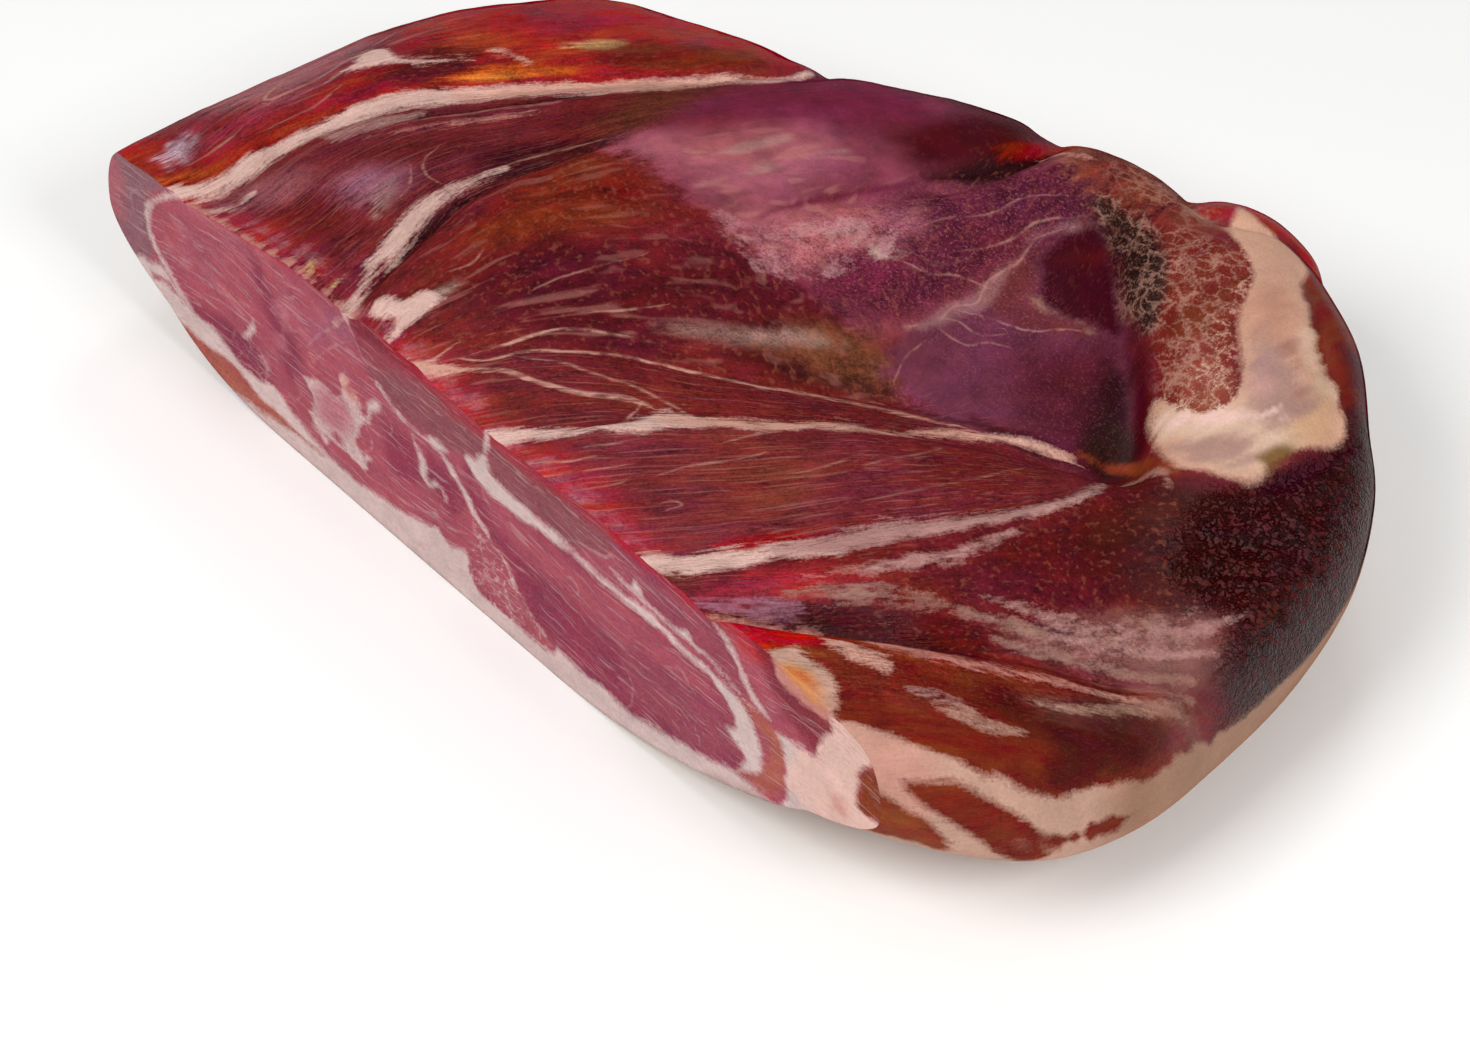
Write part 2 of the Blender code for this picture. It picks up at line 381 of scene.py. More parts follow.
class Canvas:
    """One side of the ham, with what each of its places is painted with."""

    def __init__(self, a: Values, b: Values, wander: Values, ground: Tone) -> None:
        """Start with one colour all over.

        Args:
            a: First direction of the places, in millimetres.
            b: Second direction of the places.
            wander: Uneven values from about -1 to 1 that make the shapes' edges ragged.
            ground: The colour of the bare side.
        """
        self.a = a.ravel()
        self.b = b.ravel()
        self.wander = wander.ravel()
        count = self.a.size
        self.tint = np.tile(linear(ground.value), (count, 1))
        self.fat_tint = np.tile(linear(Tone.CREAM.value), (count, 1))
        self.amount = {layer: np.zeros(count) for layer in Layer}
        self.amount[Layer.FAT][:] = -FAR_AWAY
        self.threads = [np.tile((FAR_AWAY, 0.0, 0.1), (count, 1)) for _ in range(CHANNELS)]

    def seen_as(self, a: Values, b: Values) -> "Canvas":
        """Give the same painting with its places measured in another way."""
        other = copy.copy(self)
        other.a = a.ravel()
        other.b = b.ravel()
        return other

    def paint(self, shape: Shape) -> None:
        """Lay one shape over what is there."""
        near, depth = shape.depth(self.a, self.b)
        depth = depth + shape.ragged * self.wander[near]
        share = shape.strength * ease(-shape.feather, shape.feather, depth)
        tone = np.array(linear(shape.tone.value)) if shape.tone else np.zeros(3)
        if shape.layer is Layer.TINT:
            self.tint[near] += share[:, None] * (tone - self.tint[near])
        elif shape.layer is Layer.FAT_TINT:
            self.fat_tint[near] += share[:, None] * (tone - self.fat_tint[near])
        elif shape.layer is Layer.FAT:
            if shape.strength < 1:
                depth = np.minimum(depth, FAT_STARTS + (FAT_COVERS - FAT_STARTS) * shape.strength)
            reach = ease(-2.0, -0.5, depth)[:, None]
            reach = reach * (depth > self.amount[Layer.FAT][near] - 0.5)[:, None]
            self.fat_tint[near] += reach * (tone - self.fat_tint[near])
            self.amount[Layer.FAT][near] = np.maximum(self.amount[Layer.FAT][near], depth)
        elif shape.layer is Layer.BARE:
            self.amount[Layer.FAT][near] = np.minimum(self.amount[Layer.FAT][near], -depth)
        elif shape.layer is Layer.GROOVE:
            self.amount[Layer.GROOVE][near] = np.maximum(self.amount[Layer.GROOVE][near], share)
        else:
            now = self.amount[shape.layer][near]
            self.amount[shape.layer][near] = now + (shape.strength - now) * share / shape.strength

    def draw(self, drawn: Thread) -> None:
        """Note one thread in its channel, where it is the nearest of that channel."""
        line = smooth_line(tapered(drawn.points, 0.75 * drawn.half_width), CURVE_STEPS)
        near = places_near(self.a, self.b, line, THREAD_MARGIN)
        distance, half_width = nearest(self.a[near], self.b[near], line)
        held = self.threads[drawn.channel]
        closer = np.abs(distance) < np.abs(held[near, 0])
        reach = drawn.strength * (1 - ease(1.4, 2.4, np.abs(distance)))
        found = np.stack([distance, reach, half_width], -1)
        held[near[closer]] = found[closer]


@dataclass
class HamForm:
    """The whole body's form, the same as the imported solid's, in millimetres."""

    # Where the body is widest, seen from above, as (x, y, height of the line)
    left_side: Points = ((-4, 0, 36), (-7, 24, 38), (-8, 52, 39), (-6, 76, 40), (-2, 98, 41))
    far_side: Points = (
        (9, 119, 42), (28, 144, 42), (52, 155, 42), (74, 162, 43), (90, 164, 44), (103, 171, 44),
        (124, 183, 45), (141, 190, 46), (151, 191, 46), (164, 198, 45), (180, 201, 45), (192, 201, 45),
        (201, 207, 44), (215, 211, 43), (230, 208, 43), (241, 201, 43), (262, 190, 42))
    right_side: Points = (
        (280, 174, 40), (294, 161, 38), (307, 140, 34), (315, 113, 29), (319, 84, 26), (321, 58, 26),
        (317, 33, 29), (307, 13, 38), (294, 0, 46))
    beyond_cut: Points = ((270, -20, 48), (215, -68, 34), (90, -90, 30), (10, -50, 32))

    # Heights that the top would have without its seams and hollows, as (x, y, z)
    top_heights: Points = (
        (0, 0, 53), (50, 0, 61), (98, 0, 71), (125, 0, 65), (165, 0, 66), (205, 0, 67), (255, 0, 71),
        (290, 0, 62), (0, 50, 54), (50, 50, 61), (100, 50, 67), (150, 50, 68), (200, 50, 66),
        (250, 50, 64), (300, 50, 50), (0, 100, 54), (50, 100, 61), (100, 100, 66), (150, 100, 65),
        (200, 100, 63), (250, 100, 61), (300, 100, 48), (50, 150, 56), (100, 150, 62), (150, 150, 62),
        (200, 150, 62), (250, 150, 62), (300, 150, 50), (100, 200, 58), (150, 200, 58), (200, 200, 59),
        (250, 200, 60))
    height_reach: float = 26.0

    # Broad swellings and hollows: x, y, long half width, short half width, turn in degrees, rise
    mounds: Points = (
        (214, 124, 34, 22, -20, -6), (251, 116, 8, 5, -40, -5), (128, 44, 34, 26, 60, 2),
        (60, 45, 30, 14, 75, -2), (248, 165, 34, 12, -42, 4), (285, 28, 30, 14, 40, 3),
        (16, 60, 50, 9, 85, 2))

    # Half the width of a seam's rounded floor, and how the edges round over
    seam_floor: float = 1.5
    top_rounding: float = 26.0
    top_rounding_right_end: float = 13.0
    top_rounding_left_corner: float = 8.0
    top_rounding_right_corner: float = 6.0
    underside_rounding: float = 60.0
    underside_rounding_cut_end: float = 80.0
    underside_rounding_far_right: float = 42.0
    underside_power: float = 1.6
    underside_power_far_right: float = 2.0
    underside_passes: int = 200
    flat_below: float = 0.15

    # Steps of the net: round an edge, across between the edges, back from the cut, up the cut
    edge_steps: int = 20
    across_steps: int = 256
    back_steps: int = 170
    cut_steps: int = 64
    edge_share: float = 0.08

    def seams(self) -> tuple[tuple[Points, float, float], ...]:
        """Give the seams between the muscles.

        Returns:
            Each as its line with the depth, and how far the valley reaches to its left and right.
        """
        flap = ((33, -2, 1), (36, 10, 2), (33, 24, 2), (31, 42, 2), (38, 63, 2.2), (52, 88, 2.5),
            (66, 106, 2.5), (82, 126, 2.5), (92, 144, 3), (98, 156, 3.5), (94, 166, 3.5))
        shank = ((104, -2, 3), (99, 5, 4.5), (95, 15, 5), (90, 30, 5), (84, 47, 5), (82, 59, 5),
            (84, 72, 4), (88, 86, 2.5), (91, 100, 1), (93, 112, 0))
        fan = ((157, -2, 1.5), (166, 15, 2), (174, 29, 2.5), (186, 42, 2.5), (199, 56, 2.5),
            (213, 74, 3), (230, 92, 4), (246, 105, 5), (256, 112, 2))
        strip = ((214, -2, 2), (222, 12, 2.5), (229, 23, 2.5), (237, 43, 2.5), (247, 66, 2.5),
            (253, 86, 2), (259, 104, 1), (264, 114, 0))
        crevice = ((235, -2, 4), (243, 6, 6), (251, 14, 8), (259, 23, 9), (267, 32, 8), (276, 43, 6),
            (288, 54, 3.5), (300, 63, 2), (310, 72, 0))
        bed_wall = ((172, 182, 1), (182, 176, 3), (192, 169, 6), (205, 159, 8), (220, 147, 9),
            (235, 136, 9), (248, 124, 8), (257, 117, 4), (262, 113, 0))
        far_notch = ((152, 196, 4), (159, 182, 5), (160, 168, 4.5), (158, 154, 4), (152, 138, 2.5),
            (146, 120, 1), (141, 104, 0))
        hidden_lobe = ((190, 203, 4), (196, 196, 4), (206, 191, 4), (215, 193, 4), (224, 199, 3),
            (233, 201, 3), (240, 203, 4))
        rim = ((234, 194, 1), (247, 187, 2), (262, 174, 2), (278, 163, 2), (284, 150, 1.5), (282, 138, 0))
        return ((flap, 2, 5), (shank, 10, 2.2), (fan, 9, 3), (strip, 4, 5), (crevice, 7, 2.2),
            (bed_wall, 4, 15), (far_notch, 2.5, 4), (hidden_lobe, 5, 1.8), (rim, 3, 3))

    def crown(self, x: Values, y: Values) -> Values:
        """Give the top's height with its seams and hollows, before its edges round over."""
        total = np.zeros(x.shape)
        weight = np.full(x.shape, 1e-9)
        for px, py, pz in self.top_heights:
            near = np.exp(-((x - px) ** 2 + (y - py) ** 2) / (2 * self.height_reach ** 2))
            total += near * pz
            weight += near
        height = total / weight
        for px, py, long_half, short_half, turn, rise in self.mounds:
            angle = np.radians(turn)
            along = (x - px) * np.cos(angle) + (y - py) * np.sin(angle)
            across = (y - py) * np.cos(angle) - (x - px) * np.sin(angle)
            height += rise * np.exp(-0.5 * ((along / long_half) ** 2 + (across / short_half) ** 2))
        for points, left_reach, right_reach in self.seams():
            distance, depth = nearest(x, y, smooth_line(points))
            reach = np.where(distance > 0, left_reach, right_reach)
            height -= depth * np.exp(-(np.hypot(distance, self.seam_floor) - self.seam_floor) / reach)
        return height

    def widest_line(self) -> Values:
        """Give the closed line where the body is widest, from the cut's left end round."""
        return smooth_line(self.left_side + self.far_side + self.right_side + self.beyond_cut
                           + self.left_side[:1])

    def rim_line(self) -> Values:
        """Give the widest line from the cut's right end round to its left end, with the way run so far."""
        count = (len(self.left_side) + len(self.far_side) + len(self.right_side) - 1) * LINE_STEPS
        line = self.widest_line()[:count + 1][::-1, :2]
        way = np.concatenate([[0], np.cumsum(np.hypot(*np.diff(line, axis=0).T))])
        return np.column_stack([line, way])

    def surfaces(self, x: Values, y: Values) -> tuple[Values, Values, Values]:
        """Give the heights of the body.

        Args:
            x: Places along the cut.
            y: Places back from the cut.

        Returns:
            The top's height, the underside's height and the distance from the widest line.
        """
        distance, widest = nearest(x, y, self.widest_line())
        distance = np.abs(distance)
        right_end = ease(150, 300, x)
        near_cut = ease(120, 20, y)
        left_corner = ease(60, 0, x) * ease(60, 0, y)
        right_corner = ease(250, 290, x) * ease(40, 0, y)
        top_reach = self.top_rounding + (self.top_rounding_right_end - self.top_rounding) * right_end
        top_reach += (self.top_rounding_left_corner - self.top_rounding) * left_corner
        top_reach += (self.top_rounding_right_corner - self.top_rounding_right_end) * right_corner
        top = widest + (self.crown(x, y) - widest) * arch(distance / top_reach, 2 + 0.4 * right_end)
        cut_end = ease(110, 230, x) * near_cut
        far_right = right_end * (1 - near_cut)
        low_reach = self.underside_rounding
        low_reach = low_reach + (self.underside_rounding_cut_end - self.underside_rounding) * cut_end
        low_reach = low_reach + (self.underside_rounding_far_right - self.underside_rounding) * far_right
        power = self.underside_power + (self.underside_power_far_right - self.underside_power) * far_right
        low = widest * (1 - arch(distance / low_reach, power))
        return top, low, distance

    def shares(self, middle: int, start: bool) -> Values:
        """Give shares from 0 to 1, closer together round an edge.

        Args:
            middle: Steps between the edges.
            start: Whether there is an edge at 0, as there is at 1.

        Returns:
            The shares.
        """
        quarter = self.edge_share * (1 - np.cos(np.linspace(0, np.pi / 2, self.edge_steps + 1)))
        first = quarter if start else np.zeros(1)
        last = 1 - quarter[::-1]
        between = np.linspace(first[-1], last[0], middle + 1)
        return np.concatenate([first, between[1:-1], last])

    def plan_net(self) -> tuple[Values, Values]:
        """Give the plan of a net between the knife cut and the widest line."""

        def along(line: Values, shares: Values) -> Values:
            """Find the places at shares of a line's length."""
            steps = np.hypot(*np.diff(line[:, :2], axis=0).T)
            length = np.concatenate([[0], np.cumsum(steps)])
            return np.stack([np.interp(shares, length / length[-1], line[:, k]) for k in (0, 1)], -1)

        u = self.shares(self.across_steps, True)
        v = self.shares(self.back_steps, False)
        far_start = len(self.left_side) * LINE_STEPS
        far_end = far_start + (len(self.far_side) - 1) * LINE_STEPS
        line = self.widest_line()[:far_end + len(self.right_side) * LINE_STEPS + 1]
        left = along(line[:far_start + 1], v)
        far = along(line[far_start:far_end + 1], u)
        right = along(line[far_end:][::-1], v)
        front = along(line[[0, -1]], u)
        su = u[:, None, None]
        sv = v[None, :, None]
        net = (1 - su) * left[None] + su * right[None] + (1 - sv) * front[:, None] + sv * far[:, None]
        net = net - (1 - su) * ((1 - sv) * front[0] + sv * far[0])
        net = net - su * ((1 - sv) * front[-1] + sv * far[-1])
        return net[..., 0], net[..., 1]

    def even_out(self, heights: Values) -> Values:
        """Average each inner height of the underside, and its front row, with those beside it."""
        soft = heights.copy()
        for _ in range(self.underside_passes):
            beside = (soft[:-2] + soft[2:]) / 2
            inner = (beside[:, 1:-1] + (soft[1:-1, :-2] + soft[1:-1, 2:]) / 2) / 2
            soft[1:-1, 0] = (beside[:, 0] + soft[1:-1, 0]) / 2
            soft[1:-1, 1:-1] = inner
        return np.where(soft < self.flat_below, 0, soft)


T, F, B = Layer.TINT, Layer.FAT, Layer.BARE
FT, LC, MB = Layer.FAT_TINT, Layer.LACE, Layer.MARBLING
LT, GL, SM, GV = Layer.LEATHER, Layer.GLOSS, Layer.SMOOTH, Layer.GROOVE


# The top as it was trimmed off the bones: muscles, the fat seams between them, the bone bed

# The thin flap along the left
FLAP: Shapes = (
    patch(T, Tone.FLAP_RED, (-20, -8), (30, -8), (32, 20), (29, 40), (31, 57), (42, 75), (52, 88), (66, 105),
        (80, 123), (92, 143), (96, 157), (100, 180), (-20, 180)),
    patch(T, Tone.MUTED_RED, (-14, 8), (16, 14), (22, 34), (20, 60), (14, 84), (-14, 96), feather=6),
    stroke(T, Tone.CRIMSON, 3.5, (8, 22), (16, 28), (18, 40), feather=4, strength=0.6),
    patch(T, Tone.FLAP_PINK, (-14, 26), (6, 32), (14, 46), (12, 64), (6, 78), (-14, 84), feather=5, ragged=4,
        strength=0.75),
    stroke(T, Tone.EMBER, 2.2, (24, 2), (27, 14), (27, 26), (26, 40), (29, 54), feather=2, strength=0.8),
    patch(T, Tone.MAROON, (26, 64), (36, 76), (41, 88), (34, 94), (22, 84), feather=4),
    stroke(T, Tone.EMBER, 4, (24, 92), (36, 102), (50, 112), (66, 124), feather=5, strength=0.7),
    stroke(T, Tone.ORANGE, 2.6, (38, 80), (44, 90), (51, 99), (60, 108), feather=2.5, ragged=1.6),
    stroke(T, Tone.APRICOT, 0.9, (41, 83), (47, 92), (54, 100), feather=1.5, strength=0.7),
    stroke(T, Tone.ORANGE, 1.2, (20, -2), (25, 8), (28, 18), feather=2, ragged=2, strength=0.7),
    stroke(T, Tone.BRIGHT_RED, 8, (14, 118), (40, 144), (62, 152), (88, 157), feather=5),
    patch(T, Tone.BROWN_RED, (60, 112), (78, 128), (92, 148), (82, 148), (66, 134), (56, 122), feather=3),
    patch(F, Tone.CREAM, (13, 75), (17, 77.5), (21, 76.5), (26, 79), (30, 83), (35, 89), (37, 90), (31, 81),
        (26, 75), (22, 70), (19.5, 64), (18, 62), (16.5, 66), (13.5, 70), feather=1),
    stroke(F, Tone.PINK_FAT, 0.6, (19, 70), (26, 80), (34, 90), (41, 98), strength=0.7),
    stroke(F, Tone.WARM_CREAM, 0.8, (34, 95), (39, 98), (45, 100), (50, 99), strength=0.8),
    patch(T, Tone.STAR, (8, 14), (10, 17), (14, 15), (18, 11), (20, 7), (15, 8.5), (13, 6), (11, 11),
        feather=1.2),
    stroke(T, Tone.YELLOW_FAT, 1.8, (50, 113), (53, 118), (56, 123), feather=1.5, strength=0.85),
    stroke(T, Tone.BLACK_RED, 0.8, (22, 71), (22.5, 75), feather=0.6),
    stroke(T, Tone.BLACK_RED, 0.7, (26, 14), (24, 28), (23, 44), feather=1.2, strength=0.6),
)

# The muscle between the flap and the shank seam
MIDDLE: Shapes = (
    patch(T, Tone.MUTED_RED, (33, -8), (104, -8), (99, 5), (92, 20), (84, 40), (80, 58), (84, 72), (88, 88),
        (92, 100), (94, 115), (92, 130), (88, 138), (80, 125), (66, 106), (52, 88), (38, 63), (33, 42),
        (35, 20)),
    patch(T, Tone.BRICK, (66, 80), (84, 84), (92, 105), (88, 125), (74, 105), feather=5),
    patch(T, Tone.OLIVE_BROWN, (82, 94), (92, 98), (94, 118), (88, 128), (80, 112), feather=5, strength=0.6),
    patch(T, Tone.BRICK, (50, 10), (74, 8), (78, 22), (64, 26), (52, 22), feather=6),
    stroke(T, Tone.CRIMSON, 5, (36, 1), (60, 3), (96, 3), feather=4, ragged=2),
    patch(T, Tone.FLAP_PINK, (36, 6), (50, 12), (50, 26), (42, 30), (37, 20), feather=4, strength=0.6),
    patch(T, Tone.LAVENDER, (54, 32), (64, 30), (69, 38), (62, 48), (54, 42), feather=5),
    stroke(T, Tone.PALE_HAZE, 1.4, (62, 42), (66, 38), (73, 32), feather=2, strength=0.7),
    patch(T, Tone.WINE, (68, 66), (78, 62), (84, 75), (89, 90), (82, 88), (74, 78), feather=3),
    patch(T, Tone.MAROON, (46, 44), (56, 46), (66, 60), (68, 72), (58, 68), feather=6, strength=0.7),
    # A dark line of painted shade along the groove of the shank seam
    stroke(T, Tone.BLACK_RED, 1.1, (97, 12), (88, 32), (82, 46), (80.5, 56), (82, 68), (86, 82), (90, 96),
        feather=1.5),
    patch(F, Tone.GREY_CREAM, (33, 43), (38, 42), (42, 52), (46, 62), (44, 66), (38, 60), (34, 52),
        ragged=2.4, strength=0.7),
    stroke(F, Tone.PINK_FAT, 0.5, (44, 50), (50, 62), (58, 74), (66, 88), strength=0.6),
    # A dark line of painted shade along the groove beside the grey fat
    stroke(T, Tone.BLACK_RED, 0.8, (37, 45), (43, 60), (51, 74), (62, 92), (70, 104), feather=0.9),
    stroke(F, Tone.PINK_FAT, 1, (36, 0.5), (50, 1), (64, 0.6), (78, 1), (92, 1.2), (102, 1), ragged=2.4),
    # Pink crumbs along the cut's edge, with a painted highlight
    stroke(T, Tone.CUT_PINK, 1.2, (38, 3), (52, 4), (66, 3), (80, 4), (94, 4), feather=1, ragged=3.4),
)

# The two muscles that fan out from the middle of the cut
FAN: Shapes = (
    patch(T, Tone.BRICK, (104, -8), (157, -8), (166, 15), (174, 29), (190, 44), (203, 60), (213, 74),
        (226, 88), (215, 92), (190, 91), (150, 89), (110, 91), (92, 88), (86, 75), (82, 60), (86, 45),
        (93, 28), (98, 12), feather=2),
    patch(T, Tone.BROWN_RED, (92, 88), (112, 88), (120, 70), (110, 40), (98, 35), (92, 55), (88, 72),
        feather=7),
    patch(T, Tone.MAROON, (112, 20), (150, 30), (160, 50), (150, 70), (120, 62), (110, 45), feather=9),
    patch(T, Tone.MAROON, (130, 72), (160, 66), (180, 60), (205, 76), (190, 88), (150, 87), feather=5),
    stroke(T, Tone.CRIMSON, 5, (104, 0), (130, 1), (157, 1), feather=4),
    # Pink crumbs along the cut's edge, with a painted highlight
    stroke(T, Tone.CUT_PINK, 1, (104, 0), (130, 0.5), (157, 0.5), feather=1, ragged=3, strength=0.7),
    patch(T, Tone.OLIVE_BROWN, (176, 68), (198, 76), (205, 90), (188, 92), (176, 82), feather=6,
        strength=0.8),
    stroke(T, Tone.HAZE, 2.4, (158, 55), (168, 63), (174, 70), (179, 78), (184, 83), feather=3,
        strength=0.8),
    stroke(T, Tone.GREY_CREAM, 1.2, (172, 68), (176, 73), (180, 79), feather=3, strength=0.6),
    stroke(T, Tone.BLACK_RED, 2, (172, 58), (182, 66), (192, 72), (204, 82), feather=2.5, strength=0.7),
    patch(T, Tone.MUTED_RED, (160, -8), (214, -8), (228, 20), (236, 40), (247, 66), (252, 88), (258, 105),
        (246, 104), (230, 90), (213, 72), (199, 54), (186, 40), (176, 30), (168, 15), strength=0.8),
    patch(T, Tone.RUST, (190, 42), (210, 52), (224, 40), (216, 25), (198, 28), feather=8, strength=0.5),
    patch(T, Tone.BRICK, (215, 70), (245, 72), (250, 95), (245, 102), (232, 90), feather=7),
    stroke(T, Tone.CRIMSON, 7, (160, 1), (185, 2), (213, 2), feather=6),
    # Pink crumbs along the cut's edge, with a painted highlight
    stroke(T, Tone.CUT_PINK, 1.2, (162, 0), (185, 0.5), (213, 0.5), feather=1, ragged=3, strength=0.7),
    stroke(T, Tone.BRIGHT_RED, 2, (222, 18), (227, 26), (231, 36), feather=2),
    patch(F, Tone.CREAM, (105, 9.5), (108.5, 12), (110.5, 18), (115, 20), (116.5, 15.5), (117, 11), (118, 4),
        (119.5, -3), (118, -2.5), (116, 4.5), (113, 7), (110.5, 3), (107, 3), (105, 6)),
    stroke(T, Tone.PALE_HAZE, 2, (113, 18), (113, 24), feather=2),
)

# The muscles each side of the lobe crevice, and the lobe
RIGHT_FRONT: Shapes = (
    patch(T, Tone.BRICK, (214, -8), (236, -8), (252, 14), (272, 38), (298, 62), (316, 80), (300, 110),
        (262, 115), (254, 90), (236, 40), strength=0.8),
    patch(T, Tone.MAROON, (262, 52), (280, 62), (290, 84), (282, 100), (262, 96), (256, 70), feather=8),
    patch(T, Tone.CRIMSON, (228, -2), (238, 4), (248, 18), (251, 32), (243, 34), (232, 18), feather=3,
        strength=0.55),
    patch(T, Tone.LEATHER, (266, 84), (300, 92), (306, 120), (285, 125), (264, 112), feather=8),
    # A thin pale lavender layer on the purple muscle: painted sheen
    stroke(F, Tone.LAVENDER, 1.8, (231, 0), (237, 5), (242, 12), (246, 19), strength=0.55),
    stroke(F, Tone.PINK_FAT, 1.4, (240, 24), (245, 34), (250, 45), (254, 56), strength=0.5),
    stroke(F, Tone.GREY_CREAM, 1.8, (247, 37), (252, 50), (256, 64), (257, 76), strength=0.8),

    # The crevice, painted dark as shade, its grey lip and the lobe
    patch(T, Tone.CREVICE_SHADE, (236, 2), (241, 13), (245, 19), (252, 28), (259, 36), (265, 43), (272, 49),
        (279, 51), (280, 38), (272, 29), (260, 25), (254, 19), (248, 12), feather=1.2),
    # A dark line of painted shade down the crevice
    stroke(T, Tone.BLACK_RED, 1, (246, 15), (253, 22), (262, 30), (270, 37), feather=1.5, strength=0.8),
    band(F, Tone.LIP, (242, 18, 0.3), (246, 24, 1.3), (251, 31, 1.6), (258, 39, 1.6), (263, 46, 1.5),
        (268, 50, 1.6), (274, 54, 1.9), (282, 60, 1.3), ragged=2, strength=0.75),
    patch(T, Tone.BROWN_RED, (236, -8), (300, -8), (312, 12), (326, 32), (328, 58), (312, 71), (298, 58),
        (287, 45), (276, 34), (266, 24), (256, 17), (246, 6)),
    patch(T, Tone.SCARLET, (234, -4), (246, 9), (254, 15), (260, 14), (257, 6), (250, -6), feather=2),
    patch(T, Tone.LEATHER, (286, 30), (304, 34), (314, 44), (317, 62), (312, 64), (306, 50), (292, 40),
        feather=5, strength=0.8),
    stroke(T, Tone.RUST, 2.5, (262, 8), (278, 14), (292, 20), feather=3, strength=0.6),
    stroke(T, Tone.EMBER, 1.4, (256, 18), (268, 24), (278, 32), (288, 42), feather=1.6, strength=0.5),
    patch(T, Tone.STRIP_RED, (280, 52), (300, 66), (314, 78), (310, 92), (294, 84), (282, 66), feather=5,
        strength=0.7),
    patch(T, Tone.LIP, (278, 54), (290, 60), (306, 72), (312, 86), (302, 98), (292, 84), (284, 66),
        feather=5, ragged=3, strength=0.45),
    band(F, Tone.LIP, (277, 51, 0.6), (286, 57, 1.2), (295, 64, 1.6), (305, 72, 1.3), (311, 80, 0.6),
        ragged=1.2, strength=0.55),
    band(F, Tone.GREY_CREAM, (268, 56, 0.5), (278, 63, 1.2), (288, 71, 1.6), (297, 82, 1.8), (303, 94, 1.4),
        (304, 103, 0.6), ragged=1.2, strength=0.45),
    patch(T, Tone.LIP, (297, 44), (305, 44), (312, 56), (316, 74), (310, 72), (302, 56), feather=4, ragged=3,
        strength=0.5),
    band(F, Tone.LIP, (299, 44, 0.5), (305, 52, 1.6), (311, 63, 1.9), (315, 76, 1.2), ragged=1.5,
        strength=0.6),
    stroke(F, Tone.GREY_CREAM, 1, (284, 62), (292, 69), (301, 79), (309, 90), ragged=1, strength=0.6),
    stroke(F, Tone.LIP, 1, (290, 80), (295, 88), (297, 98), ragged=1, strength=0.5),
    band(F, Tone.PINK_FAT, (235.4, 0.4, 0.6), (246.5, 12.2, 0.8), (252, 18, 0.9), (260, 20.5, 0.8),
        (266, 22.5, 1), (276.5, 31.5, 1.2), (288, 43, 1.1), (297.8, 54.2, 1), (309, 64, 1.2)),
    stroke(FT, Tone.ORANGE, 1.5, (293, 54), (299, 60), feather=2),
    patch(F, Tone.WARM_CREAM, (257, 13), (264, 16), (273.8, 21), (276, 18), (268, 13.5), strength=0.85),
    stroke(F, Tone.GREY_CREAM, 2, (282, 20), (289, 24.5), (297, 27), (303, 34), strength=0.5),
)

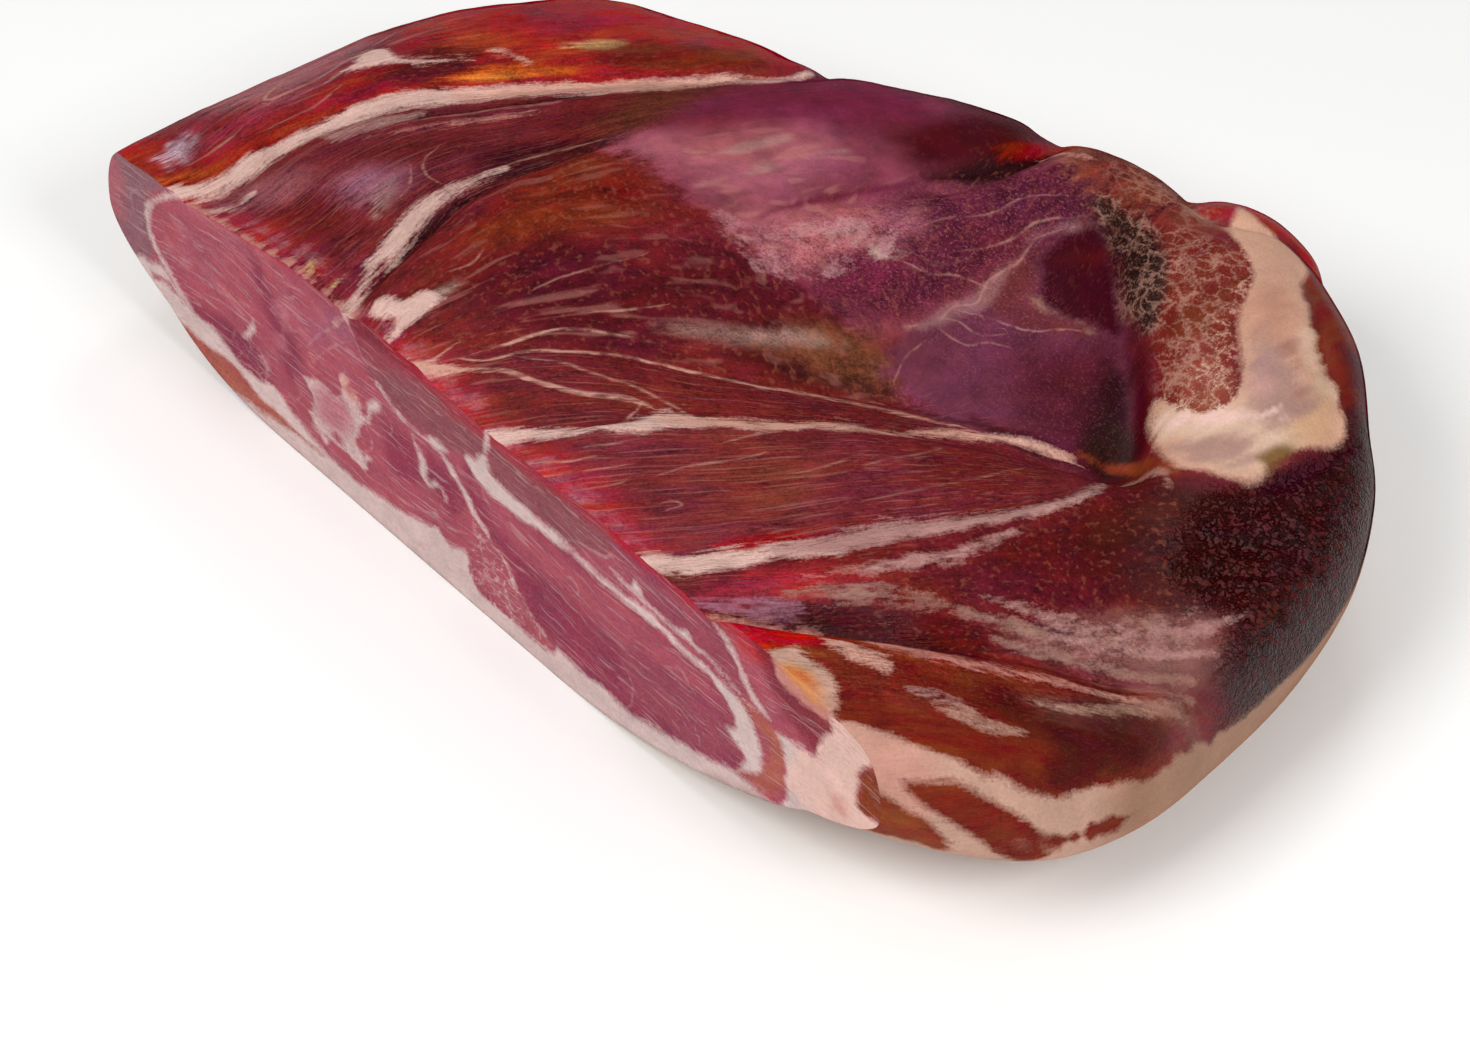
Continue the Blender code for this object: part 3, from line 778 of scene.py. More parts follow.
# The smooth mauve muscles behind the fan, and the strip beside the blade bed
FAR_LEFT: Shapes = (
    patch(T, Tone.MAUVE, (92, 92), (125, 89), (150, 90), (190, 92), (189, 120), (187, 150), (182, 175),
        (166, 200), (125, 205), (98, 190), (92, 163), (98, 150), (92, 130), (94, 110), feather=3, ragged=2),
    patch(T, Tone.MAGENTA, (94, 108), (104, 114), (114, 134), (130, 146), (138, 160), (124, 172), (98, 168),
        (92, 130), feather=8),
    patch(T, Tone.ROSE_MAUVE, (96, 90), (110, 96), (127, 98), (136, 112), (136, 128), (126, 136), (114, 124),
        (104, 110), (96, 98), feather=7, ragged=3, strength=0.9),
    stroke(T, Tone.WINE, 9, (96, 176), (118, 182), (136, 186), (150, 194), feather=9),
    patch(T, Tone.WINE, (132, 148), (148, 146), (156, 160), (158, 176), (152, 190), (138, 176), feather=7),
    patch(T, Tone.STRIP_RED, (150, 140), (160, 150), (162, 165), (170, 180), (186, 176), (192, 165),
        (186, 140), (188, 110), (184, 96), (168, 92), (160, 100), (162, 120), (156, 128), feather=5),
    patch(T, Tone.ROSE_MAUVE, (132, 97), (146, 90), (160, 92), (163, 112), (166, 132), (157, 134),
        (150, 126), (142, 114), feather=6, strength=0.95),
    patch(T, Tone.MAGENTA, (162, 94), (172, 96), (178, 108), (174, 118), (164, 112), feather=4),
    # A dark line of painted shade down the crease beside the far notch
    stroke(T, Tone.BLACK_RED, 3.4, (160, 184), (159, 172), (156, 158), (151, 148), feather=2),
    stroke(T, Tone.MAGENTA, 1.5, (152, 146), (146, 130), (141, 112), (139, 98), feather=1.5),
    # A painted highlight along the muscle's rounded rim above that crease
    stroke(T, Tone.BRIGHT_RED, 1.6, (156, 188), (156, 178), (154, 170), feather=2, strength=0.7),
    # Bright red meat at the far notch, partly a painted highlight
    patch(T, Tone.BRIGHT_RED, (153, 198), (158, 187), (166, 186), (174, 194), (168, 204), (156, 204),
        feather=2.5),
    # A thin pale film on the mauve muscle, partly painted sheen
    patch(F, Tone.FILM_MAUVE, (134, 92), (148, 88), (160, 90), (164, 106), (167, 118), (164, 128),
        (156, 122), (146, 110), strength=0.2, ragged=4),
    stroke(T, Tone.PALE_HAZE, 0.9, (164, 119), (167, 118), (170, 121), (170, 127), (173, 132), feather=1,
        ragged=1.5),
    patch(T, Tone.TAN, (160, 190), (170, 182), (184, 178), (192, 184), (186, 192), (170, 198), feather=4,
        ragged=3, strength=0.8),
    stroke(T, Tone.WINE, 3, (112, 172), (124, 178), (138, 182), feather=4),
    stroke(T, Tone.LIP, 1.5, (172, 121), (177, 124), (179, 131), feather=1.5, ragged=1.5, strength=0.7),
    stroke(F, Tone.PINK_FAT, 0.7, (160, 178), (165, 183), (172, 186), strength=0.7),
    # Pale streaks along the mauve muscle's fibres, partly painted sheen
    stroke(T, Tone.PALE_HAZE, 0.8, (121, 94), (124, 107), (128, 124), (132, 137), feather=1.2, ragged=4,
        strength=0.35),
    stroke(T, Tone.PALE_HAZE, 0.6, (110, 97), (113, 110), (119, 126), feather=1.2, ragged=4, strength=0.35),
    stroke(T, Tone.PALE_HAZE, 0.6, (138, 82), (146, 95), (153, 109), (157, 122), feather=1, ragged=4,
        strength=0.4),
    stroke(T, Tone.STRIP_RED, 0.9, (128, 96), (133, 110), (138, 124), (144, 138), feather=1.5, ragged=4,
        strength=0.4),
    stroke(T, Tone.STRIP_RED, 0.9, (144, 88), (151, 102), (156, 114), feather=1.5, ragged=4, strength=0.45),
)

# The hollow that the blade bone left, its lace wall and the cartilage beside it
BED_WALL: Points = ((204, 180), (219, 184), (227, 182), (234, 178), (238, 170), (242, 162), (249, 156),
    (257, 148), (259, 143), (256, 138), (249, 135), (243, 137), (236, 143), (228, 151), (221, 158),
    (212, 167), (206, 173))
BLADE_BED: Shapes = (
    patch(T, Tone.BED, (187, 172), (186, 150), (190, 130), (191, 105), (198, 90), (213, 87), (232, 99),
        (247, 108), (251, 116), (246, 126), (236, 137), (221, 149), (206, 161), (196, 170), feather=2),
    # The bed darkens towards its deep corner by the wall: painted shade
    patch(T, Tone.WINE, (208, 122), (218, 112), (230, 104), (246, 108), (250, 118), (240, 132), (222, 147),
        (214, 138), feather=10, strength=0.75),
    # Darker still nearer that corner: painted shade
    patch(T, Tone.PLUM_SHADE, (224, 140), (230, 128), (238, 118), (246, 112), (250, 118), (242, 130),
        (232, 140), feather=5),
    patch(T, Tone.DEEP_PLUM, (186, 170), (188, 150), (192, 147), (199, 141), (206, 141), (213, 147),
        (217, 150), (206, 160), (197, 170), feather=1.5),
    stroke(T, Tone.MAROON, 2.5, (196, 169), (196, 162), (192, 152), feather=3, strength=0.7),
    patch(T, Tone.PATCH_BROWN, (186, 147), (189, 131), (194, 128), (202, 128), (208, 134), (214, 142),
        (211, 146), (205, 140), (199, 139), (192, 146), feather=1.2, ragged=1.5),
    stroke(T, Tone.LIP, 0.8, (197, 139), (203, 139), (209, 143), (213, 144), feather=0.8, ragged=1.5,
        strength=0.7),
    stroke(T, Tone.FILM_MAUVE, 0.7, (190, 104), (192, 111), (190, 119), (191, 126), (187, 136), feather=1.6,
        ragged=3, strength=0.4),
    stroke(T, Tone.FILM_MAUVE, 1.2, (187, 138), (186, 148), (184, 156), (186, 166), feather=2, ragged=3,
        strength=0.35),
    # The deepest part of that corner: painted shade
    patch(T, Tone.POCKET_SHADE, (236, 128), (246, 127), (252, 121), (249, 112), (241, 114), feather=3),
    # A dark line of painted shade where the bed meets the raised muscle in front
    stroke(T, Tone.WINE, 2.5, (222, 96), (236, 104), (248, 112), feather=2),

    # The wall: cells darkened by painted shade beside the bed, then red ones that pale towards the front
    patch(T, Tone.FASCIA, (163, 204), (170, 184), (186, 178), (206, 180), (218, 186), (212, 197), (196, 204),
        feather=3, ragged=2),
    stroke(T, Tone.LACE_TAN, 1.4, (188, 194), (200, 191), (214, 189), (226, 186), feather=1.5),
    patch(T, Tone.BONE_RED, *BED_WALL),
    patch(T, Tone.BONE_PINK, (240, 154), (248, 152), (258, 146), (262, 141), (257, 136), (246, 142),
        feather=4, strength=0.45),
    # Painted shade along the foot of the wall, where it rises from the bed
    stroke(T, Tone.POCKET_SHADE, 5, (184, 176), (196, 173), (206, 168), (216, 160), (226, 151), feather=2),
    patch(LC, None, *BED_WALL, feather=3, strength=0.8),
    patch(LC, None, (240, 156), (250, 152), (259, 145), (256, 137), (246, 140), feather=3),
    stroke(LC, None, 6, (182, 176), (196, 174), (206, 168), (216, 160), (226, 152), strength=0.7),
    patch(LC, None, (168, 196), (178, 184), (196, 182), (212, 186), (206, 196), (190, 202), feather=4,
        strength=0.55),
    # A dark line of painted shade in the crease between the bed and the wall
    stroke(T, Tone.WINE, 1.6, (229, 146), (237, 138), (244, 131), (251, 124)),

    patch(F, Tone.CARTILAGE, (208, 201), (221, 200), (229, 197), (237, 196), (243, 187), (251, 181),
        (261, 174), (272, 169), (281, 163), (283, 157), (280, 148), (280, 141), (279, 131), (271, 125),
        (264, 122.5), (257, 123.5), (251, 127), (246, 131), (243, 136), (250, 137), (256, 138), (260, 142),
        (258, 149), (251, 156), (244, 162), (239, 170), (234, 177), (227, 183), (215, 188)),
    patch(F, Tone.CARTILAGE, (230, 182), (238, 177), (244, 166), (254, 157), (262, 148), (260, 140),
        (252, 139), (246, 152), (236, 168), feather=5, strength=0.3),
    patch(LC, None, (246, 140), (258, 142), (256, 132), (248, 132), feather=3, strength=0.7),
    patch(FT, Tone.PALE_CARTILAGE, (262, 146), (276, 150), (280, 138), (270, 128), (262, 134), feather=4),
    patch(FT, Tone.BONE_PINK, (241, 166), (250, 160), (258, 162), (256, 172), (246, 180), (238, 176),
        feather=5, ragged=3, strength=0.35),
    patch(FT, Tone.PALE_CARTILAGE, (252, 180), (262, 172), (272, 168), (268, 164), (256, 172), feather=2.5,
        ragged=3, strength=0.8),
    patch(FT, Tone.YELLOW_FAT, (272, 166), (280, 158), (278, 146), (273, 152), (268, 162), feather=3,
        strength=0.4),
    patch(FT, Tone.CARTILAGE_GREY, (252, 166), (270, 162), (273, 148), (266, 143), (262, 152), (252, 158),
        feather=4, ragged=3),
    patch(FT, Tone.CARTILAGE_GREY, (258, 126), (268, 127), (276, 134), (270, 139), (261, 133), feather=3,
        ragged=2),
    patch(FT, Tone.PALE_CARTILAGE, (248, 129), (256, 127), (266, 137), (262, 142), (251, 136), feather=2,
        ragged=2),
    stroke(FT, Tone.CREAM, 1.6, (252, 131), (259, 136), (266, 143), (270, 150), feather=1.5, ragged=3),
    stroke(FT, Tone.BONE_PINK, 1.2, (256, 168), (263, 164), (268, 158), feather=2, ragged=3, strength=0.4),
    patch(FT, Tone.FILM_MAUVE, (256, 160), (264, 156), (266, 148), (260, 150), feather=3, strength=0.5),
    patch(FT, Tone.OLIVE_FAT, (276, 137), (281, 137), (281, 146), (277, 143), feather=1.5),
    patch(T, Tone.BONE_RED, (236, 193), (256, 193), (278, 180), (286, 168), (275, 167), (262, 173),
        (250, 181), (241, 187), feather=1.5),
    patch(T, Tone.WINE, (262, 180), (280, 170), (288, 158), (296, 160), (284, 178), (266, 190), feather=3),
    patch(T, Tone.FLAP_RED, (188, 206), (196, 196), (206, 192), (215, 196), (224, 203), (236, 200),
        (246, 203), (230, 216), (200, 216), feather=1.5),
    stroke(T, Tone.RUST, 1.8, (243, 112), (250, 120), (259, 121), (267, 120), feather=1),
    stroke(F, Tone.LACE_TAN, 1.1, (256, 104), (255, 113), (260, 119), (268, 116), strength=0.8),
)

# The dried skin of the far right
SKIN: Shapes = (
    patch(T, Tone.LEATHER, (272, 168), (283, 150), (281, 130), (270, 121), (264, 110), (278, 96), (298, 104),
        (310, 92), (330, 82), (335, 110), (320, 150), (290, 185), feather=5, ragged=3),
    patch(LT, None, (280, 170), (285, 150), (282, 132), (276, 118), (288, 98), (304, 100), (316, 86),
        (335, 76), (335, 110), (320, 150), (290, 185), feather=6),
    # A dark line of painted shade along the groove at the skin's edge
    stroke(T, Tone.DEEP_PLUM, 2.5, (286, 162), (285, 148), (283, 134), feather=2),
)

# The broad fat seams, as bands whose third value is half their width
FAT_SEAMS: Shapes = (
    band(F, Tone.CREAM, (26, -4, 2.6), (28.5, 0, 2.8), (32, 5, 2.3), (32.5, 13.5, 2.5), (31, 20.5, 3),
        (30, 26, 2.4), (30, 31, 1.8), (30, 40, 1.8), (31, 48.5, 2), (33, 57, 2.5), (36.5, 66, 2.4),
        (42, 74.5, 2.7), (47.5, 83.5, 2.5), (54.5, 92, 3.2), (61.5, 100, 3.3), (69.5, 108, 3.2),
        (76, 115, 3.2), (79.5, 120, 2.6), (83, 127, 1.9), (86.5, 133, 1.6), (90.5, 138, 1.5), (94, 143, 1.6),
        (96, 149, 0.7), (96, 156, 0.2)),
    band(F, Tone.CREAM, (104, -3, 1.1), (100, 1.5, 1.5), (96.5, 7, 1.1), (94, 11, 0.8), (90, 17, 1.7),
        (88.5, 22.5, 2.3), (84.5, 29.5, 3), (81, 36.5, 2.8), (78, 43.5, 2.4), (76.5, 50, 2), (76, 56, 1.1),
        (76.5, 62, 0.7), (78, 68, 0.3)),
    band(F, Tone.CREAM, (158, -3, 3), (159.5, 0, 3.1), (161.5, 5, 2.2), (165.5, 10.5, 1.8), (169, 15.5, 0.9),
        (172, 20, 0.7), (176, 24, 1.6), (178, 27.5, 2.6), (179.5, 31, 3.1), (181.5, 35.5, 3.5),
        (185, 39, 2.8), (189, 43.5, 2.1), (195, 48.5, 2.1), (198, 53, 2.1), (201, 57, 1.9),
        (203.5, 61.5, 1.7), (207, 66, 1.9), (210.5, 70.5, 1.4), (214.5, 74.5, 1), (219, 83.5, 0.7),
        (225, 92, 0.7), (232, 101, 0.6), (243, 109, 0.4)),
    band(F, Tone.CREAM, (213, -3, 3), (215.5, 1.5, 3), (220, 5, 4), (223, 10.5, 3.7), (225.5, 15.5, 3.3),
        (228.5, 20.5, 2.2), (230, 26, 2.4), (233, 31, 2.6), (236.5, 36.5, 3), (238, 41.5, 2.6),
        (239.5, 47, 2.5), (241, 52, 2.3), (243.5, 57, 2.2), (246, 63, 2.2), (249, 70, 2.2), (252, 78, 2.2),
        (255, 86, 2.2), (257, 93, 1.8), (257, 100, 1.2), (256, 106, 0.6)),
    stroke(FT, Tone.WARM_CREAM, 4, (45, 79), (61, 100), (80, 120), (92, 142), feather=3),
    stroke(FT, Tone.WARM_CREAM, 5, (181, 35), (200, 56), (220, 84), (243, 109), feather=3),
    stroke(FT, Tone.GREY_CREAM, 4, (230, 26), (238, 42), (246, 63), (254, 84), (256, 104), feather=3),
    stroke(F, Tone.YELLOW_FAT, 0.9, (80, 5), (84, 3), (88, 6), (91, 4), ragged=2.5),
    stroke(F, Tone.WARM_CREAM, 1.3, (127, -3), (129, 0), (134, 5), (138, 9.5), ragged=1.2),
    stroke(F, Tone.CREAM, 0.9, (42, 15), (45, 9), (43.5, 3), ragged=1.6),
    stroke(B, None, 0.8, (219, 2), (222, 3), (225, 3.5), ragged=1),
)

# The fat at the front right corner
FRONT_CORNER: Shapes = (
    patch(F, Tone.CORNER_FAT, (279, -8), (280, 1), (285, 5), (293, 10), (300.5, 14.5), (306, 19.5),
        (311.5, 26), (330, 32), (330, -8), feather=1),
    patch(F, Tone.CORNER_FAT, (255.5, -1), (258, 6), (264, 7), (271.5, 6.5), (277, 2), (276, -4), (256, -4),
        feather=1),
    stroke(FT, Tone.APRICOT, 2.2, (260, -2), (265, 1), (274, 1), feather=1.5),
    stroke(FT, Tone.ORANGE, 0.8, (261, -1), (266, 1.5), (272, 0.5), feather=1),
)

# Where the meat is smooth, greasy or marbled
TEXTURES: Shapes = (
    patch(MB, None, (33, -8), (215, -8), (250, 60), (250, 100), (190, 92), (95, 92), (34, 45), feather=6,
        strength=0.34),
    patch(MB, None, (-14, 16), (20, 20), (22, 60), (30, 90), (10, 110), (-14, 100), feather=6, strength=0.6),
    patch(MB, None, (165, 0), (214, -4), (236, 40), (250, 80), (232, 92), (200, 56), feather=6,
        strength=0.5),
    patch(MB, None, (104, -4), (158, -4), (176, 40), (150, 60), (112, 40), feather=8, strength=0.5),

    patch(Layer.GRIT, None, (150, 96), (172, 94), (188, 108), (188, 140), (184, 172), (166, 174), (156, 150),
        (150, 130), feather=5, strength=0.8),
    patch(MB, None, (98, 96), (140, 90), (160, 94), (166, 130), (150, 140), (112, 126), feather=8,
        strength=0.6),
    patch(Layer.GRIT, None, (190, 104), (236, 100), (248, 112), (244, 128), (214, 150), (200, 132),
        feather=6, strength=0.35),
    patch(Layer.GRIT, None, (186, 122), (196, 120), (208, 130), (203, 142), (188, 148), feather=3,
        strength=0.6),
    patch(SM, None, (94, 94), (140, 92), (146, 120), (152, 145), (150, 200), (90, 200), feather=6,
        strength=0.75),
    patch(SM, None, (188, 170), (190, 100), (214, 90), (248, 108), (250, 124), (210, 160), feather=4,
        strength=0.75),
    patch(SM, None, (200, 184), (204, 206), (244, 202), (290, 170), (290, 122), (266, 116), (246, 122),
        (226, 150), feather=2),
    patch(SM, None, (-20, 100), (30, 110), (90, 150), (80, 190), (-20, 190), feather=12, strength=0.5),
    patch(GL, None, (-20, -5), (24, -5), (20, 60), (60, 120), (90, 158), (60, 190), (-20, 190), feather=10,
        strength=0.5),
    patch(GL, None, (262, 130), (280, 90), (335, 60), (335, 150), (280, 190), feather=8, strength=0.9),
    patch(GL, None, (228, 0), (250, 10), (270, 35), (250, 35), feather=4, strength=0.6),
    patch(GL, None, (200, 184), (204, 206), (244, 202), (290, 170), (290, 122), (246, 122), (226, 150),
        feather=3, strength=0.7),
    patch(GL, None, (100, -4), (214, -4), (228, 20), (190, 30), (110, 26), feather=10, strength=0.4),
)

# The cracks and undercut lines that throw a shadow
GROOVES: Shapes = (
    stroke(GV, None, 0.8, (36, 44), (43, 60), (51, 74), (62, 92), (72, 106), feather=1.2, strength=0.9),
    stroke(GV, None, 0.4, (35.5, -2), (37, 12), (34.5, 30), feather=1, strength=0.5),
    stroke(GV, None, 0.6, (95.5, 14), (91, 26), (85, 40), (80.5, 54), (81, 64), feather=1.2, strength=1.2),
    stroke(GV, None, 1.2, (83, 68), (86, 77), (87.5, 87), feather=1.5, strength=1.5),
    band(GV, None, (238, 1, 0.5), (245, 11, 1.2), (251, 19, 1.8), (259, 28, 2.2), (267, 34, 2.2),
        (274, 39, 2), (280, 43, 0.8), feather=1.2, strength=2.6),
    stroke(GV, None, 1.6, (157, 180), (156, 168), (154, 157), (150, 147), feather=1.8, strength=1.8),
    stroke(GV, None, 0.8, (187, 175), (203, 162), (220, 149), (236, 137), (248, 126), feather=1.4,
        strength=1.2),
    stroke(GV, None, 0.6, (205, 80), (218, 90), (232, 101), (244, 109), feather=1.2, strength=0.9),
    stroke(GV, None, 0.5, (252, 92), (252.5, 84), (250, 72), feather=1, strength=0.8),
    stroke(GV, None, 0.8, (284, 160), (285, 148), (283, 135), (277, 124), feather=1.5, strength=1.2),
    stroke(GV, None, 0.4, (292, -3), (298, 5), (305, 12.5), (310, 19), feather=0.8, strength=0.7),
    stroke(GV, None, 0.6, (206, 192), (215, 194.5), (224, 200), (236, 203), feather=1.2, strength=1.0),
)

# The thin fat threads that run up the fan, and the fine cracks, drawn dark as painted shade
TOP_THREADS: Threads = (
    thread(0, 0.9, 0.6, (135, 14.5), (138.5, 23.5), (141.5, 32), (147, 38.5), (154, 44.5)),
    thread(1, 0.9, 0.5, (133.5, 10), (138.5, 14.5), (143.5, 24), (150.5, 31.5), (159, 40), (168, 46),
        (176.5, 52), (186, 58), (190.5, 62.5), (198.5, 69.5), (203.5, 74.5)),
    thread(0, 1.0, 0.9, (130, 0), (133, 4), (136.5, 7.5), (140, 11), (145, 15.5), (152, 19), (159, 23.5),
        (163.5, 27), (169.5, 32.5), (174.5, 35)),
    thread(2, 0.6, 0.4, (143.5, 20.5), (151.5, 27), (161, 32), (169.5, 36.5), (178.5, 39.5), (182.5, 40.5)),
    thread(2, 0.6, 0.5, (142.5, 43.5), (147, 50.5), (151.5, 59)),
    thread(2, 0.4, 0.4, (127, 38), (128, 46), (131.5, 57), (134, 67)),
    thread(2, 0.8, 0.4, (129, -1), (129.5, 5), (129, 12)),
    thread(2, 0.7, 0.4, (172.5, 34), (174, 28), (174.5, 22)),
    thread(2, 0.5, 0.4, (108, 27), (109, 33), (107, 38)),
    thread(1, 0.9, 0.6, (203.5, 74.5), (210.5, 81), (217.5, 87.5), (226, 95), (236, 103), (245, 109.5)),
    # Cracks beside the fan's groove, drawn dark: painted shade
    thread(2, -0.8, 0.6, (201, 76), (209, 82.5), (216, 89), (226, 98), (236, 105.5)),
    thread(0, -0.7, 0.4, (212, 78.5), (219, 86), (228, 95), (238, 103)),
    thread(0, 0.6, 0.5, (171.5, 0), (174, 4), (177, 8), (180, 14)),
    thread(0, 0.6, 0.4, (177, 0), (182.5, 8.5), (187, 17)),
    thread(1, 0.5, 0.4, (175.5, 13), (179, 19), (183, 26)),
    thread(1, 0.5, 0.4, (186, 2), (189, 8), (191, 13)),
    thread(0, 0.5, 0.4, (194.5, 20), (197.5, 29.5), (202.5, 38), (205, 44)),
    thread(0, 0.5, 0.5, (196, 40), (199, 48), (201, 53)),
    thread(1, 0.5, 0.4, (202, 15), (203.5, 18), (206, 18), (205, 14.5)),
    thread(1, 0.4, 0.4, (222, 60), (225, 70), (227, 80)),
    thread(0, 0.4, 0.4, (231, 52), (236, 66), (240, 80), (243, 92)),
    thread(1, 0.4, 0.4, (214, 44), (218, 56), (219, 64)),
    thread(1, 0.4, 0.5, (184, 168), (180, 157), (180, 146), (176, 134)),
    thread(0, 0.35, 0.4, (177, 170), (172, 160), (171, 150), (166, 140), (164, 128)),
    thread(2, 0.4, 0.3, (203, 87), (198, 96), (196, 104)),
    thread(2, 0.4, 0.4, (190, 104), (192, 111), (190, 119), (191, 126), (187, 134), (187, 144), (184, 153),
        (186, 165)),
    thread(0, 0.45, 0.4, (192, 120), (196, 124), (201, 127), (206, 131), (209, 138), (213, 143)),
    thread(1, 0.4, 0.4, (193, 110), (198, 111), (202, 113), (203, 118), (207, 122)),
    thread(0, 0.4, 0.4, (191, 113), (195, 117), (200, 118), (203, 124)),
    thread(1, 0.4, 0.4, (189, 132), (182, 128), (178, 122), (172, 119)),
    # Cracks near the crevice and along the strip, drawn dark: painted shade
    thread(2, -0.8, 0.5, (273, 41.5), (279, 49), (286, 56), (294, 62), (301, 65)),
    thread(1, -0.6, 0.6, (252.5, 93), (253, 85), (250.5, 71), (247, 58)),
    thread(0, -0.5, 0.6, (243, 34), (246, 44), (250, 54), (254, 62)),
    thread(0, 0.6, 0.4, (77, 67), (80, 76), (84, 85), (89, 94)),
    thread(1, 0.5, 0.5, (46, 62), (52, 73), (60, 85), (67, 95)),
    thread(2, 0.6, 0.4, (60, 60), (62, 54), (68, 51), (75, 52)),
    thread(1, 0.5, 0.4, (62, 50), (67, 46), (71, 40)),
    thread(2, 0.6, 0.6, (7, 50), (13, 40), (15, 55), (13, 68), (10, 84)),
    thread(1, 0.5, 0.6, (21, 10), (20, 20), (18, 30)),
    thread(2, 0.4, 0.4, (23, 34), (23.5, 46), (22, 58)),
    thread(1, 0.8, 0.6, (17.5, 64), (18, 57), (17.5, 50)),
)

TOP_SIDE = Painting(FLAP + MIDDLE + FAR_LEFT + FAN + RIGHT_FRONT + BLADE_BED + SKIN + FAT_SEAMS
                    + FRONT_CORNER + TEXTURES + GROOVES, TOP_THREADS)


# The knife cut: sliced muscles with fine marbling in a rim of fat. Its points are (x, z)

# The sliced muscles
CUT_MUSCLES: Shapes = (
    patch(T, Tone.CUT_STRIP, (-9, 20), (12, 24), (13, 45), (26, 60), (10, 64), (-9, 60), feather=2),
    patch(T, Tone.FLAP_PINK, (-9, 30), (0, 32), (3, 48), (-2, 56), (-9, 52), feather=3),
    patch(T, Tone.CUT_ROSE, (14, 34), (20, 50), (36, 62), (70, 66), (70, 16), (50, 14), (28, 22), feather=2),
    patch(T, Tone.CUT_PINK, (30, 55), (50, 57), (68, 60), (66, 68), (30, 66), feather=3),
    patch(T, Tone.CUT_DEEP, (28, 22), (45, 26), (62, 26), (62, 14), (45, 14), feather=4),
    patch(T, Tone.CUT_DEEP, (62, 60), (72, 46), (80, 36), (72, 24), (66, 40), (60, 50), feather=4),
    patch(T, Tone.CUT_ROSE, (74, 70), (104, 70), (106, 40), (90, 34), (78, 44), feather=3),
    patch(T, Tone.LAVENDER, (82, 50), (98, 66), (103, 60), (92, 50), (86, 46), feather=4, strength=0.6),
    stroke(T, Tone.CUT_PINK, 1.5, (20, 50), (34, 46), (50, 48), feather=2, ragged=2),
    stroke(T, Tone.CUT_PINK, 1.5, (22, 36), (38, 38), (56, 34), feather=2, ragged=2),
    stroke(T, Tone.CUT_PINK, 1.8, (62, 24), (70, 36), (76, 52), feather=2.5, ragged=2.5),
    stroke(T, Tone.CUT_PINK, 1.2, (74, 60), (80, 48), (90, 40), (96, 46), feather=2, ragged=2),
    stroke(T, Tone.CUT_PINK, 1.2, (84, 60), (92, 54), (98, 44), feather=2, ragged=2),
    stroke(T, Tone.CUT_PINK, 1.4, (104, 44), (112, 36), (122, 30), (134, 24), feather=2, ragged=2),
    patch(T, Tone.CUT_ROSE, (104, 44), (132, 44), (148, 34), (145, 18), (120, 12), (104, 14), feather=3),
    patch(T, Tone.CUT_DEEP, (112, 38), (124, 40), (126, 26), (114, 24), feather=3),
    patch(T, Tone.CUT_DEEP, (130, 42), (146, 34), (140, 24), (130, 32), feather=3),
    patch(T, Tone.MUTED_RED, (102, 62), (106, 55), (126, 57), (130, 70), (104, 74), feather=2, strength=0.8),
    patch(T, Tone.CUT_ROSE, (104, 58), (108, 55), (126, 57), (126, 63), (108, 62), feather=2, strength=0.5),
    patch(T, Tone.CUT_GREY, (118, 57), (135, 66), (155, 67), (155, 58), (150, 52), (146, 50), (132, 46),
        (118, 47), (108, 50), feather=2),
    patch(T, Tone.CUT_GREY, (156, 66), (156, 53), (158, 51), (184, 50), (192, 54), (200, 57), (200, 68),
        feather=1.5),
    patch(T, Tone.CUT_MAUVE, (200, 68), (201, 58), (214, 52), (246, 50), (247, 56), (236, 66), feather=2),
    patch(T, Tone.CRIMSON, (200, 70), (202, 64), (236, 63), (240, 70), feather=2, strength=0.6),
    patch(T, Tone.CUT_DEEP, (146, 50), (180, 47), (215, 47), (240, 44), (246, 36), (249, 26), (240, 18),
        (215, 9), (175, 10), (160, 26), (147, 34), feather=2),
    patch(T, Tone.CUT_ROSE, (150, 44), (180, 45), (230, 44), (240, 38), (200, 32), (160, 34), feather=5),
    patch(T, Tone.CUT_MAUVE, (205, 30), (243, 36), (247, 26), (230, 16), (208, 14), feather=5),
    patch(T, Tone.CUT_ROSE, (146, 34), (158, 26), (172, 12), (178, 8), (146, 6), (140, 22)),
    patch(T, Tone.CUT_ROSE, (240, 66), (247, 56), (258, 47), (272, 48), (278, 60), (280, 70), feather=2),
    patch(T, Tone.SCARLET, (236, 68), (248, 62), (258, 66), (258, 74), (236, 74), feather=3, strength=0.5),
    patch(T, Tone.RUST, (286, 54), (288, 44), (298, 44), (302, 60), (292, 62), feather=2.5, ragged=2),
    stroke(T, Tone.CRIMSON, 3, (26, 60), (60, 65), (100, 72), (126, 66), (170, 65), (236, 68), feather=3,
        strength=0.6),
    patch(T, Tone.MUTED_RED, (250, 72), (256, 60), (266, 51), (276, 50), (281, 60), (282, 72), feather=3,
        strength=0.75),
)

